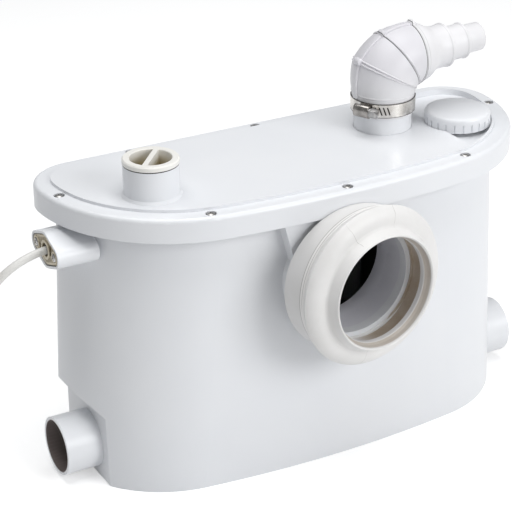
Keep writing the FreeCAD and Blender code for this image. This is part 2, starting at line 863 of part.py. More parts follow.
def make_tank():
    """Tank: tapered tub with a screwing flange, cut-back feet, side spigots, closet tube and gland block."""
    outer = tub("tank_outer", 0, flange_top, tank_base_inset, tank_base_tip, tank_top_inset, tank_top_tip)
    inner = tub("tank_inner", tank_wall, flange_top + 1.0, tank_base_inset + tank_wall, tank_base_tip,
                tank_top_inset + tank_wall, tank_top_tip)
    flange = slab("tank_flange", flange_inset, flange_top - flange_thick, flange_top)
    bosses = ring_of_cylinders("tank_bosses", screw_shank + 2.2, flange_top - flange_thick - boss_drop, flange_top)
    foot_cuts = [end_cut("tank_foot_left", -1, as_size(0)), end_cut("tank_foot_right", 1, as_size(0))]
    room_cuts = [end_cut("tank_room_left", -1, tank_wall), end_cut("tank_room_right", 1, tank_wall)]
    shell = cut("tank_body", outer, *foot_cuts)
    spigots = [cylinder("tank_spigot_%s" % side, spigot_radius, spigot_end - recess_face + 1.0,
                        x, spigot_y, spigot_z, turn)
               for side, x, turn in (("left", 1.0 - recess_face, AGAINST_X), ("right", recess_face - 1.0, ALONG_X))]
    wall_y = front_at(0, tank_top_inset)
    closet = cylinder("tank_closet", closet_bore + closet_wall, closet_reach + tank_wall,
                      0, wall_y + tank_wall, closet_z, AGAINST_Y)
    root_ring = cone("tank_closet_root", closet_bore + closet_wall + 4.0, closet_bore + closet_wall, 8.0,
                     0, wall_y + tank_wall, closet_z, AGAINST_Y)
    block = plate("tank_gland", oval(gland_radius, gland_tip, gland_spread), gland_end - recess_face + 2.0,
                  2.0 - recess_face, gland_y, gland_z, Rotation(Vector(0, -1, 0), Vector(0, 0, 1), Vector(-1, 0, 0), "ZXY"))
    shelves = [box("tank_shelf_%d" % number, 8.0, 26.0, shelf_height, box_left + place_x,
                   half_depth - tank_top_inset - tank_wall - 25.0, box_low - shelf_height)
               for number, place_x in enumerate((12.0, 96.0))]
    lugs = [box("tank_lug_%s_%d" % (name, number), lug_reach + 1.0, lug_thick, 10.0, x, spigot_y + offset, lug_z)
            for name, x in (("left", tank_wall - recess_face - 1.0), ("right", recess_face - tank_wall - lug_reach))
            for lug_z in (spigot_z + spigot_radius - 2.0,)
            for number, offset in enumerate((-(knuckle_width / 2) - lug_thick, knuckle_width / 2))]
    solid = fuse("tank_solid", shell, flange, bosses, inlet_pad(closet_inset - half_depth))
    room = cut("tank_room", inner, *room_cuts)
    hollow = cut("tank_hollow", solid, room)
    full = fuse("tank_full", hollow, *spigots, closet, root_ring, block, *shelves, *lugs)
    bores = [cylinder("tank_bore_%s" % side, spigot_radius - spigot_wall, spigot_end, x, spigot_y, spigot_z, turn)
             for side, x, turn in (("left", tank_wall + 2.0 - recess_face, AGAINST_X),
                                   ("right", recess_face - tank_wall - 2.0, ALONG_X))]
    closet_hole = cylinder("tank_closet_bore", closet_bore, closet_reach + bore_run,
                           0, wall_y + bore_run / 2 + 2.0, closet_z, AGAINST_Y)
    pin_holes = [cylinder("tank_pin_hole_%s" % name, pin_radius + run_gap, knuckle_width + 2 * lug_thick + 2.0,
                          x, spigot_y - knuckle_width / 2 - lug_thick - 1.0, hinge_z, ALONG_Y)
                 for name, x, hinge_z in (("left", -hinge_x, flap_hinge_z), ("right", hinge_x, flap_hinge_z))]
    seat = plate("tank_gland_seat", oval(gland_radius - gland_rim, gland_tip - gland_rim, gland_spread), gland_deep + 1.0,
                 gland_deep - gland_end, gland_y, gland_z,
                 Rotation(Vector(0, -1, 0), Vector(0, 0, 1), Vector(-1, 0, 0), "ZXY"))
    wire_hole = cylinder("tank_wire_hole", cord_radius + 1.5, gland_end - recess_face + 20.0,
                         20.0 - recess_face, gland_y, gland_z, AGAINST_X)
    gland_holes = [cylinder("tank_gland_hole_%d" % number, gland_screw + close_gap, 12.0,
                            gland_deep - gland_end + 11.0, gland_y + offset, gland_z, AGAINST_X)
                   for number, offset in enumerate((-gland_spread, gland_spread))]
    screw_holes = ring_of_cylinders("tank_screw_holes", screw_shank + close_gap,
                                    flange_top - flange_thick - boss_drop + 1.5, flange_top + 1.0)
    finish("tank_shell", cut("tank_shell", full, *bores, closet_hole, *pin_holes, seat, wire_hole, *gland_holes,
                             screw_holes))


hinge_x = recess_face - tank_wall - knuckle_radius - fit_gap
flap_hinge_z = spigot_z + spigot_radius + knuckle_radius + 0.5


def make_lid():
    """Lid: overhanging skirt, raised panel, sunken well with its ridge, plug spigot, vent boss and holes."""
    blank = rounded("lid_blank", slab("lid_outer", 0, skirt_low, rim_height), rim_round,
                    lambda edge: edge.BoundBox.ZMin > rim_height.value - 0.01)
    inside = slab("lid_inside", lid_wall, skirt_low - 1.0, plate_low)
    relief = slab("lid_relief", flange_inset + gasket_width + 4.5, plate_low - 1.0, roof_low)
    panel = slab("lid_panel", panel_inset, rim_height - 1.0, panel_top)
    right = box("lid_well_side", half_length, lid_depth, 40.0, well_start, -half_depth, rim_height - 20.0)
    tray = common("lid_tray", slab("lid_tray_plan", panel_inset, flange_top + fit_gap, rim_height), right)
    sunk = common("lid_sunk", slab("lid_sunk_plan", panel_inset + well_ridge, well_floor, panel_top + 1.0),
                  box("lid_sunk_side", half_length, lid_depth, 40.0, well_start + well_ridge, -half_depth,
                      rim_height - 20.0))
    spigot = cylinder("lid_spigot", plug_spigot, plug_spigot_end - roof_low, plug_x, plug_y, roof_low)
    foot = cone("lid_spigot_foot", plug_spigot + 2.2, plug_spigot, 2.4, plug_x, plug_y, panel_top - 0.2)
    boss = cylinder("lid_boss", vent_boss, vent_boss_end - well_floor + 1.0, vent_x, vent_y, well_floor - 1.0)
    shell = cut("lid_shell", blank, inside, relief)
    raised = cut("lid_raised", fuse("lid_with_panel", shell, panel, tray), sunk)
    full = fuse("lid_full", raised, spigot, foot, boss)
    spigot_bore = cylinder("lid_spigot_bore", plug_spigot - plug_spigot_wall, 60.0, plug_x, plug_y, plate_low - 10.0)
    ledge = vent_boss_end - filter_thick - 2.0
    vent_room = tube("lid_vent_room", cap_radius + 0.5, vent_boss, 10.0, vent_x, vent_y, cap_skirt_low - 0.5)
    vent_hole = cylinder("lid_vent_hole", vent_bore - 3.0, 40.0, vent_x, vent_y, well_floor - 20.0)
    vent_pocket = cylinder("lid_vent_pocket", vent_bore, 20.0, vent_x, vent_y, ledge)
    pipe_hole = cylinder("lid_pipe_hole", discharge_radius + fit_gap, 40.0, discharge_x, discharge_y, plate_low - 10.0)
    screw_holes = ring_of_cylinders("lid_screw_holes", screw_shank + close_gap, plate_low - 1.0, rim_height + 1.0)
    screw_seats = ring_of_cylinders("lid_screw_seats", screw_head + fit_gap, rim_height - screw_seat, rim_height + 1.0)
    finish("lid", cut("lid", full, spigot_bore, vent_room, vent_hole, vent_pocket, pipe_hole, screw_holes, screw_seats))


def make_lid_fixings():
    """Gasket between lid and flange, and the eight screws through them."""
    inner = flange_inset + 1.5 + gasket_width
    ring = cut("gasket_ring", slab("gasket_outer", flange_inset + 1.5, flange_top, plate_low),
               slab("gasket_inner", inner, flange_top - 1.0, plate_low + 1.0))
    holes = ring_of_cylinders("gasket_holes", screw_shank + close_gap, flange_top - 1.0, plate_low + 1.0)
    finish("lid_gasket", cut("lid_gasket", ring, holes))
    tip = flange_top - flange_thick - boss_drop + 2.0
    shanks = ring_of_cylinders("screw_shanks", screw_shank, tip, rim_height - screw_seat + 0.2)
    heads = ring_of_cylinders("screw_heads", screw_head, rim_height - screw_seat, rim_height + 0.4)
    finish("lid_screws", fuse("lid_screws", shanks, heads))


def leaning():
    """The turn of the collar's front part, a little to the right of straight out."""
    return Rotation(Vector(0, 0, 1), collar_lean.value).multiply(AGAINST_Y)


def inlet_pad(wall_y):
    """Raised pad round the closet tube: straight sides that draw in downwards, from the flange to the tube."""
    front, back = wall_y - pad_reach, wall_y + 8.0
    top = flange_top - flange_thick + 0.5

    def half_width(height):
        """Half the pad's width at a height."""
        return pad_half + (as_size(height) - skirt_low) * pad_slope

    def piece(name, low, high):
        """The pad between two heights."""
        return side_plate(name, [(half_width(low) * -1, low), (half_width(low), low), (half_width(high), high),
                                 (half_width(high) * -1, high)], front, back)

    level = skirt_low - 0.4
    high = common("tank_pad_high", piece("tank_pad_upper", level - 0.1, top),
                  slab("tank_pad_limit", lid_wall + 0.8, skirt_low - 5.0, top + 1.0))
    return fuse("tank_pad", piece("tank_pad_lower", closet_z + pad_foot, level), high)


def make_collar():
    """Rubber collar: a straight double cuff on the tank's tube, and a bulge, neck and lip that lean a little."""
    wall_y = closet_inset - half_depth
    start = closet_bore + closet_wall + close_gap
    root_gap = pad_reach + 2.0
    lean = leaning()
    tube_end = closet_reach + 3.0

    def straight(radius, reach):
        """A ring square to the closet tube."""
        return radius, 0, wall_y - reach, closet_z, AGAINST_Y

    def leant(radius, reach):
        """A ring square to the leaning front part."""
        return radius, reach * sine(collar_lean), wall_y - reach * cosine(collar_lean), closet_z, lean

    joint = cuff_length + 1.0
    cuff = cut("collar_cuff", through_rings("cuff_outer", [straight(cuff_radius, cuff_start), leant(ridge_radius - 2.0, joint)]),
               through_rings("cuff_inner", [straight(cuff_radius - cuff_wall, cuff_start),
                                            leant(ridge_radius - 2.0 - cuff_wall, joint)]))
    sleeve = cut("collar_sleeve",
                 through_rings("sleeve_outer", [straight(start + sleeve_wall, root_gap),
                                                straight(start + sleeve_wall, tube_end), leant(start + sleeve_wall + 1.0, joint)]),
                 through_rings("sleeve_inner", [straight(start, root_gap), straight(start, tube_end),
                                                leant(start + 1.0, joint)]))
    ridge = cuff_length
    profile = [(throat_radius + 3.4, ridge), (ridge_radius - 1.2, ridge), (ridge_radius, ridge + 0.9),
               (ridge_radius - 0.4, ridge + 2.0), (ridge_radius - 1.3, ridge + 2.6), (ridge_radius + 0.6, ridge + 3.6),
               (bulge_radius, bulge_reach + 0.6),
               (neck_radius + 3.0, neck_reach, 15.0), (neck_radius, neck_reach + 1.6, -3.0),
               (lip_radius + lip_wall, lip_reach - 1.6), (lip_radius + lip_wall / 2, lip_reach, 2.0),
               (lip_radius, lip_reach - 1.2, 2.0), (lip_radius - 0.8, lip_reach - 5.0),
               (throat_radius, lip_reach - 8.0), (throat_radius, lip_reach - 12.0),
               (throat_radius + 3.4, lip_reach - 14.0)]
    front = turned("collar_front", profile, 0, wall_y, closet_z, lean)
    finish("inlet_collar", fuse("inlet_collar", cuff, sleeve, front))


def make_side_flap(side, sign):
    """Non-return flap behind one side inlet, with its hinge pin."""
    face = (recess_face - tank_wall - fit_gap) * sign
    radius = spigot_radius - spigot_wall + flap_lap
    turn = ALONG_X if sign < 0 else AGAINST_X
    disc = cylinder("flap_disc_%s" % side, radius, flap_thick, face, spigot_y, spigot_z, turn)
    arm_x = face if sign < 0 else face - flap_thick
    arm = box("flap_arm_%s" % side, flap_thick, knuckle_width - 2.0, flap_hinge_z - spigot_z - 6.0,
              arm_x, spigot_y - knuckle_width / 2 + 1.0, spigot_z + 6.0)
    knuckle = cylinder("flap_knuckle_%s" % side, knuckle_radius, knuckle_width - 1.0,
                       hinge_x * sign, spigot_y - knuckle_width / 2 + 0.5, flap_hinge_z, ALONG_Y)
    hole = cylinder("flap_hole_%s" % side, pin_radius + run_gap, knuckle_width + 2.0,
                    hinge_x * sign, spigot_y - knuckle_width / 2 - 1.0, flap_hinge_z, ALONG_Y)
    finish("%s_inlet_flap" % side, cut("%s_flap" % side, fuse("flap_whole_%s" % side, disc, arm, knuckle), hole))
    finish("%s_flap_pin" % side,
           cylinder("%s_pin" % side, pin_radius, knuckle_width + 2 * lug_thick, hinge_x * sign,
                    spigot_y - knuckle_width / 2 - lug_thick, flap_hinge_z, ALONG_Y))


def make_plug():
    """Threaded service plug: flange, hollow cup with a grip bar, and its seal."""
    seat = plug_spigot_end + plug_seal
    top = seat + plug_flange_thick
    bore = plug_spigot - plug_spigot_wall
    outer = bore - fit_gap
    low = plug_spigot_end - plug_skirt
    floor = plug_spigot_end - plug_skirt + 2.0
    cup = turned("plug_cup", [(0, low), (outer, low), (outer, seat), (plug_flange, seat), (plug_flange, top - 1.0),
                              (plug_flange - 1.0, top), (plug_cup + 0.6, top), (plug_cup, top - 0.6),
                              (plug_cup - 0.4, floor), (0, floor)], plug_x, plug_y, 0)
    bar = document.addObject("Part::Box", "plug_bar")
    bind(bar, "Length", 2 * plug_cup + 0.6)
    bind(bar, "Width", grip_width)
    bind(bar, "Height", top - floor + 0.5)
    turn = Rotation(Vector(0, 0, 1), grip_turn.value)
    reach, side = plug_cup + 0.3, grip_width / 2
    place(bar, plug_x - reach * cosine(grip_turn) + side * sine(grip_turn),
          plug_y - reach * sine(grip_turn) - side * cosine(grip_turn), floor - 0.5, turn)
    finish("inlet_plug", fuse("inlet_plug", cup, bar))
    finish("plug_seal", tube("plug_seal_ring", plug_spigot, outer + close_gap, plug_seal,
                             plug_x, plug_y, plug_spigot_end))


def make_vent():
    """Vent cap with a notched skirt, over a carbon filter in the boss."""
    inside = cap_radius - cap_wall
    under = vent_boss_end + fit_gap
    dome = (cap_radius * cap_radius + cap_crown * cap_crown) / (2 * cap_crown)
    shell = turned("vent_shell", [(0, under), (vent_boss + close_gap, under), (vent_boss + close_gap, cap_skirt_low + 1.0),
                                  (vent_boss + 2.0, cap_skirt_low + 1.0), (vent_boss + 2.0, under),
                                  (inside, under), (inside, cap_skirt_low), (cap_radius, cap_skirt_low),
                                  (cap_radius, cap_shoulder), (0, cap_shoulder + cap_crown, dome)], vent_x, vent_y, 0)
    notches = []
    for number in range(int(cap_notches.value)):
        angle = math.radians(360.0 * number / cap_notches.value)
        turn = Rotation(Vector(0, 0, 1), math.degrees(angle))
        notches.append(box("vent_notch_%d" % number, 3.0, cap_notch, cap_shoulder - cap_skirt_low - 2.0,
                           vent_x + (cap_radius - 0.8) * math.cos(angle) + cap_notch / 2 * math.sin(angle),
                           vent_y + (cap_radius - 0.8) * math.sin(angle) - cap_notch / 2 * math.cos(angle),
                           cap_skirt_low - 0.5, turn))
    finish("vent_cap", cut("vent_cap", shell, *notches))
    finish("vent_filter", cylinder("vent_disc", vent_bore - close_gap, filter_thick, vent_x, vent_y,
                                   vent_boss_end - filter_thick - 2.0))


def make_discharge():
    """Valve body under the lid with the discharge spigot above it, its flap and pin, and the riser below."""
    low = valve_seat_z - valve_seat_thick - socket_deep
    flange_low = roof_low - valve_flange_thick
    bore = discharge_radius - discharge_wall
    inside = valve_radius - valve_wall
    body = turned("valve_turned", [
        (riser_radius + close_gap, low), (riser_radius + 3.0, low), (riser_radius + 3.0, valve_seat_z - valve_seat_thick - 4.0),
        (valve_radius, valve_seat_z - valve_seat_thick), (valve_radius, flange_low), (valve_flange, flange_low),
        (valve_flange, roof_low), (discharge_radius, roof_low), (discharge_radius, discharge_end - 1.0),
        (discharge_radius - 1.0, discharge_end), (bore, discharge_end), (bore, roof_low - 2.0),
        (inside, roof_low - 5.0), (inside, valve_seat_z), (valve_seat_bore, valve_seat_z),
        (valve_seat_bore, valve_seat_z - valve_seat_thick), (riser_radius + close_gap, valve_seat_z - valve_seat_thick)],
        discharge_x, discharge_y, 0)
    lugs = [box("valve_lug_%d" % number, 8.2, 3.0, 7.5, discharge_x - valve_hinge - 6.0, discharge_y + offset,
                valve_seat_z - 0.5) for number, offset in enumerate((-9.5, 6.5))]
    fence = cylinder("valve_fence", valve_radius - 1.0, 40.0, discharge_x, discharge_y, valve_seat_z - 10.0)
    hole = cylinder("valve_pin_hole", pin_radius - 0.2 + run_gap, 26.0, discharge_x - valve_hinge, discharge_y - 13.0,
                    valve_hinge_z, ALONG_Y)
    finish("valve_body", cut("valve_body", fuse("valve_whole", body, common("valve_lugs", fuse("valve_lug_pair", *lugs), fence)),
                             hole))
    disc = cylinder("valve_disc", valve_flap, flap_thick, discharge_x, discharge_y, valve_seat_z + fit_gap)
    arm = box("valve_arm", valve_hinge - 4.0, 8.0, flap_thick, discharge_x - valve_hinge, discharge_y - 4.0,
              valve_seat_z + fit_gap)
    knuckle = cylinder("valve_knuckle", 2.6, 12.0, discharge_x - valve_hinge, discharge_y - 6.0, valve_hinge_z, ALONG_Y)
    eye = cylinder("valve_eye", pin_radius - 0.2 + run_gap, 14.0, discharge_x - valve_hinge, discharge_y - 7.0,
                   valve_hinge_z, ALONG_Y)
    finish("valve_flap", cut("valve_flap", fuse("valve_flap_whole", disc, arm, knuckle), eye))
    finish("valve_pin", cylinder("valve_pin", pin_radius - 0.2, 19.0, discharge_x - valve_hinge, discharge_y - 9.5,
                                 valve_hinge_z, ALONG_Y))
    top = valve_seat_z - valve_seat_thick - close_gap
    start_x = pump_radius + 1.0
    limbs = []
    for name, radius in (("outer", riser_radius), ("inner", riser_radius - riser_wall)):
        low_radius = radius - (riser_radius - outlet_radius)
        limbs.append(fuse("riser_%s" % name,
                          cylinder("riser_foot_%s" % name, low_radius, discharge_x - start_x, start_x, discharge_y,
                                   outlet_z, ALONG_X),
                          cone("riser_swell_%s" % name, low_radius, radius, 12.0, discharge_x, discharge_y, outlet_z),
                          cylinder("riser_pipe_%s" % name, radius, top - outlet_z - 12.0, discharge_x, discharge_y,
                                   outlet_z + 12.0),
                          ball("riser_corner_%s" % name, low_radius, discharge_x, discharge_y, outlet_z)))
    finish("riser_pipe", cut("riser_pipe", limbs[0], limbs[1]))


valve_hinge_z = valve_seat_z + fit_gap + 2.6


def ball(name, radius, x, y, z):
    """A sphere."""
    made = document.addObject("Part::Sphere", name)
    bind(made, "Radius", radius)
    return place(made, x, y, z)


def section_centre(radius, angle):
    """Centre of one ring of the elbow, at its angle round the pivot."""
    reach = radius + pivot_gap
    pivot_x = discharge_x + elbow_cuff + pivot_gap
    return pivot_x - reach * cosine(angle), pivot_z + reach * sine(angle)


def through_rings(name, rings):
    """A solid that runs straight from each ring to the next. A ring is (radius, x, y, z, turn)."""
    body = document.addObject("PartDesign::Body", name)
    sketches = []
    for number, (radius, x, y, z, turn) in enumerate(rings):
        radius, x, y, z = as_size(radius), as_size(x), as_size(y), as_size(z)
        sketch = body.newObject("Sketcher::SketchObject", "%s_ring_%d" % (name, number))
        face = [feature for feature in body.Origin.OriginFeatures if feature.Role == "XY_Plane"][0]
        sketch.AttachmentSupport = (face, [""])
        sketch.MapMode = "FlatFace"
        sketch.AttachmentOffset = FreeCAD.Placement(Vector(x.value, y.value, z.value), turn)
        bind(sketch, "AttachmentOffset.Base.x", x)
        bind(sketch, "AttachmentOffset.Base.y", y)
        bind(sketch, "AttachmentOffset.Base.z", z)
        sketch.addGeometry(Part.Circle(Vector(0, 0, 0), Vector(0, 0, 1), radius.value), False)
        sketch.addConstraint(Sketcher.Constraint("Coincident", 0, 3, -1, 1))
        number = sketch.addConstraint(Sketcher.Constraint("Radius", 0, radius.value))
        sketch.setExpression("Constraints[%d]" % number, radius.text)
        sketches.append(sketch)
    loft = body.newObject("PartDesign::AdditiveLoft", name + "_loft")
    loft.Profile = sketches[0]
    loft.Sections = sketches[1:]
    loft.Ruled = True
    return body


def elbow_rings():
    """Radius and angle of the elbow's four rings and of the places halfway between them."""
    rings = [(elbow_cuff, elbow_bend * 0.0), (ring_one, elbow_bend / 3), (ring_two, elbow_bend * 2 / 3),
             (ring_three, elbow_bend)]
    between = [((one[0] + other[0]) / 2, (one[1] + other[1]) / 2) for one, other in zip(rings, rings[1:])]
    return [entry for pair in zip(rings, between) for entry in pair] + rings[-1:]


def bend(name, thinner):
    """The elbow's bend through its rings, thinner by a wall for the inside."""
    rings = []
    for radius, angle in elbow_rings():
        x, z = section_centre(radius, angle)
        rings.append((radius - thinner, x, discharge_y, z, Rotation(Vector(0, 1, 0), angle.value)))
    return through_rings(name, rings)


def make_elbow():
    """Soft elbow: cuff on the spigot, gusseted bend with joint rings and a knobbed spine, stepped nozzle."""
    cuff = cylinder("elbow_cuff", elbow_cuff, pivot_z - elbow_low, discharge_x, discharge_y, elbow_low)
    outer = bend("elbow_outer", as_size(0))
    thin = elbow_cuff - discharge_radius - close_gap
    inner = bend("elbow_inner", thin)
    rings, knobs = [], []
    for number, radius in enumerate((ring_one, ring_two, ring_three)):
        angle = elbow_bend * (number + 1) / 3
        x, z = section_centre(radius, angle)
        turn = Rotation(Vector(0, 1, 0), angle.value)
        half = ring_thick / 2
        rings.append(tube("elbow_ring_%d" % number, radius + ring_proud, radius - 0.9, ring_thick,
                          x - half * sine(angle), discharge_y, z - half * cosine(angle), turn))
        reach = 2 * radius + pivot_gap
        away = reach + spine_rise + 1.4
        pivot_x = discharge_x + elbow_cuff + pivot_gap
        knobs.append(cylinder("elbow_knob_%d" % number, knob_radius, spine_width + 1.0,
                              pivot_x - (away - knob_radius) * cosine(angle), discharge_y - spine_width / 2 - 0.5,
                              pivot_z + (away - knob_radius) * sine(angle), ALONG_Y))
    spine = make_spine()
    axis_x, axis_z = section_centre(ring_three, elbow_bend)
    turn = Rotation(Vector(0, 1, 0), elbow_bend.value)
    nozzle = turned("elbow_nozzle", [
        (0, 0), (ring_three, 0), (ring_three, 5.0), (step_one + 2.5, bell_end - 5.0, -14.0), (step_one, bell_end),
        (step_one, step_one_end - 2.2), (step_one + step_lip, step_one_end - 1.8), (step_one + step_lip, step_one_end),
        (step_two, step_one_end + 1.0), (step_two, step_two_end - 2.2), (step_two + step_lip, step_two_end - 1.8),
        (step_two + step_lip, step_two_end), (step_three, step_two_end + 1.0), (step_three, step_three_end - 1.0),
        (step_three - 0.6, step_three_end), (0, step_three_end)], axis_x, discharge_y, axis_z, turn)
    hollow = turned("elbow_nozzle_bore", [
        (0, 0), (ring_three - thin, 0), (ring_three - thin, 4.0), (step_one - nozzle_wall, bell_end),
        (step_one - nozzle_wall, step_one_end - 2.5), (step_two - nozzle_wall, step_one_end - 0.5),
        (step_two - nozzle_wall, step_two_end - 2.5), (step_three - nozzle_wall, step_two_end - 0.5),
        (step_three - nozzle_wall, step_three_end + 1.0), (0, step_three_end + 1.0)], axis_x, discharge_y, axis_z, turn)
    cuff_bore = cylinder("elbow_cuff_bore", discharge_radius + close_gap, pivot_z - elbow_low + 1.0,
                         discharge_x, discharge_y, elbow_low - 1.0)
    shell = cut("elbow_shell", fuse("elbow_core", cuff, outer, nozzle), inner, hollow, cuff_bore)
    finish("discharge_elbow", fuse("discharge_elbow", shell, *rings, *knobs, spine))


def make_spine():
    """Strip along the outside of the bend, from the cuff to the last ring, in straight lengths between knobs."""
    pivot_x = discharge_x + elbow_cuff + pivot_gap
    outside, inside = [], []
    for radius, angle in elbow_rings():
        reach = 2 * radius + pivot_gap
        outside.append((pivot_x - (reach + spine_rise) * cosine(angle), pivot_z + (reach + spine_rise) * sine(angle)))
        inside.append((pivot_x - (reach - 1.0) * cosine(angle), pivot_z + (reach - 1.0) * sine(angle)))
    points = outside + inside[::-1]
    return side_plate("elbow_spine", points[::-1], discharge_y - spine_width / 2, discharge_y + spine_width / 2)


def make_clamp():
    """Worm-drive hose clamp: band, screw housing and screw."""
    band = elbow_cuff + close_gap
    finish("clamp_band", tube("clamp_ring", band + band_thick, band, band_width, discharge_x, discharge_y, band_low))
    turn = Rotation(Vector(0, 0, 1), clamp_turn.value)
    seat = band + band_thick + close_gap
    middle = band_low + band_width / 2
    out, along = cosine(clamp_turn), sine(clamp_turn)

    def local(radial, tangent):
        """Plan place at a distance out from the band's axis and along its tangent."""
        return discharge_x + radial * out - tangent * along, discharge_y + radial * along + tangent * out

    half = housing_length / 2
    x, y = local(seat, -half)
    block = box("clamp_block", housing_depth, housing_length, band_width - 1.0, x, y, band_low + 0.5, turn)
    x, y = local(seat + housing_depth / 2, -half - 1.0)
    along_tangent = turn.multiply(ALONG_Y)
    bore = cylinder("clamp_bore", clamp_screw + run_gap, housing_length + 2.0, x, y, middle, along_tangent)
    window_x, window_y = local(seat - 1.0, -half + 2.0)
    relief = box("clamp_relief", housing_depth / 2 + 1.0, housing_length - 4.0, 3.0, window_x, window_y, middle - 1.5, turn)
    finish("clamp_housing", cut("clamp_housing", block, bore, relief))
    x, y = local(seat + housing_depth / 2, -half - 1.0)
    shank = cylinder("clamp_shank", clamp_screw, housing_length + 1.6, x, y, middle, along_tangent)
    x, y = local(seat + housing_depth / 2, half + fit_gap)
    head = cylinder("clamp_head", clamp_head, clamp_head_length, x, y, middle, along_tangent)
    x, y = local(seat + housing_depth / 2 - 0.6, half + fit_gap + clamp_head_length - 1.4)
    slot = box("clamp_slot", 1.2, 3.0, 2 * clamp_head + 1.0, x, y, middle - clamp_head - 0.5, turn)
    finish("clamp_screw", cut("clamp_screw", fuse("clamp_screw_whole", shank, head), slot))


def make_gland():
    """Ribbed cable clamp plate in its seat, two screws and the grommet."""
    face = gland_end - gland_sunk
    turn = Rotation(Vector(0, -1, 0), Vector(0, 0, 1), Vector(-1, 0, 0), "ZXY")
    lean = gland_rim + 1.0
    thick = gland_deep - gland_sunk - close_gap
    blank = plate("gland_blank", oval(gland_radius - lean, gland_tip - lean, gland_spread), thick,
                  thick - face, gland_y, gland_z, turn)
    pits = [box("gland_pit_%d" % number, 2.6, 4.5, 9.0, -face - 0.5, gland_y + offset - 2.25, gland_z + drop)
            for number, (offset, drop) in enumerate(((-9.2, -2.0), (9.2, -7.0)))]
    hole = cylinder("gland_hole", cord_radius + grommet_wall + close_gap, gland_deep + 4.0, gland_deep + 2.0 - face,
                    gland_y, gland_z, AGAINST_X)
    holes = [cylinder("gland_screw_hole_%d" % number, gland_screw + close_gap, gland_deep + 4.0,
                      gland_deep + 2.0 - face, gland_y + offset, gland_z, AGAINST_X)
             for number, offset in enumerate((-gland_spread, gland_spread))]
    finish("gland_plate", cut("gland_plate", blank, hole, *holes, *pits))
    screws = []
    for number, offset in enumerate((-gland_spread, gland_spread)):
        screws.append(cylinder("gland_shank_%d" % number, gland_screw, gland_deep + 8.0, gland_deep + 8.0 - face,
                               gland_y + offset, gland_z, AGAINST_X))
        screws.append(cylinder("gland_head_%d" % number, gland_head, 1.8, -face - close_gap, gland_y + offset, gland_z,
                               AGAINST_X))
    finish("gland_screws", fuse("gland_screws", *screws))
    finish("cord_grommet", tube("grommet", cord_radius + grommet_wall, cord_radius + close_gap,
                                grommet_reach + 4.0, 4.0 - face, gland_y, gland_z, AGAINST_X))


def make_pump():
    """Pump casing with feet, impeller, perforated basket, cutter blade and shaft."""
    inside = pump_radius - pump_wall
    shell = turned("pump_shell", [(0, pump_low), (pump_radius, pump_low), (pump_radius, pump_top), (inside, pump_top),
                                  (inside, pump_low + pump_floor), (0, pump_low + pump_floor)], 0, pump_y, 0)
    feet = [cylinder("pump_foot_%d" % number, foot_radius, pump_low - tank_wall + 1.0,
                     (pump_radius - foot_radius - 2.0) * math.cos(angle),
                     pump_y + (pump_radius - foot_radius - 2.0) * math.sin(angle),
                     tank_wall) for number, angle in enumerate(thirds())]
    outer = outlet_radius - riser_wall - close_gap
    spout = cylinder("pump_spout", outer, outlet_reach + 10.0, pump_radius - 10.0, discharge_y, outlet_z, ALONG_X)
    chamber = cylinder("pump_chamber", inside, pump_top, 0, pump_y, pump_low + pump_floor)
    way = cylinder("pump_way", outer - riser_wall, pump_radius + 20.0, 0, discharge_y, outlet_z, ALONG_X)
    spout = cut("pump_outlet", spout, chamber)
    finish("pump_casing", cut("pump_casing", fuse("pump_whole", shell, *feet, spout), way))
    base = pump_top
    ring = turned("basket_turned", [
        (suction_radius, base), (basket_radius, base), (basket_radius, basket_top), (basket_radius - basket_wall, basket_top),
        (basket_radius - basket_wall, base + basket_floor), (suction_radius, base + basket_floor)], 0, pump_y, 0)
    slots = []
    for row in range(2):
        for number in range(int(basket_slots.value)):
            angle = 2 * math.pi * (number + row / 2) / basket_slots.value
            turn = Rotation(Vector(0, 0, 1), math.degrees(angle))
            side = slot_width / 2
            slots.append(box("basket_slot_%d_%d" % (row, number), basket_wall + 4.0, slot_width, slot_height,
                             (basket_radius - basket_wall - 2.0) * math.cos(angle) + side * math.sin(angle),
                             pump_y + (basket_radius - basket_wall - 2.0) * math.sin(angle) - side * math.cos(angle),
                             base + basket_floor + 5.0 + row * (slot_height + 5.0), turn))
    finish("grinder_basket", cut("grinder_basket", ring, *slots))
    low = pump_low + pump_floor + 1.2
    disc = tube("impeller_plate", impeller_radius, shaft_radius + run_gap, impeller_disc, 0, pump_y, low)
    hub = tube("impeller_hub", shaft_radius + 4.0, shaft_radius + run_gap, impeller_disc + vane_height + 2.0, 0, pump_y, low)
    vanes = []
    for number in range(int(vane_count.value)):
        angle = 2 * math.pi * number / vane_count.value
        turn = Rotation(Vector(0, 0, 1), math.degrees(angle) + 14.0)
        vanes.append(box("impeller_vane_%d" % number, impeller_radius - shaft_radius - 5.0, vane_thick,
                         vane_height + 0.5, (shaft_radius + 3.0) * math.cos(angle),
                         pump_y + (shaft_radius + 3.0) * math.sin(angle), low + impeller_disc - 0.5, turn))
    finish("impeller", fuse("impeller", disc, hub, *vanes))
    blade = box("cutter_bar", blade_length, blade_width, blade_thick, blade_length / -2, pump_y - blade_width / 2, blade_z)
    boss = cylinder("cutter_boss", shaft_radius + 5.0, blade_thick + 6.0, 0, pump_y, blade_z - 1.0)
    teeth = [box("cutter_tooth_%d" % number, 4.0, blade_width, 9.0, x, pump_y - blade_width / 2, blade_z)
             for number, x in enumerate((blade_length / -2, blade_length / 2 - 4.0))]
    eye = cylinder("cutter_eye", shaft_radius + run_gap, 30.0, 0, pump_y, blade_z - 10.0)
    finish("cutter_blade", cut("cutter_blade", fuse("cutter_whole", blade, boss, *teeth), eye))


def thirds():
    """Three directions, a third of a turn apart, clear of the outlet."""
    return [math.radians(90.0 + 120.0 * number) for number in range(3)]


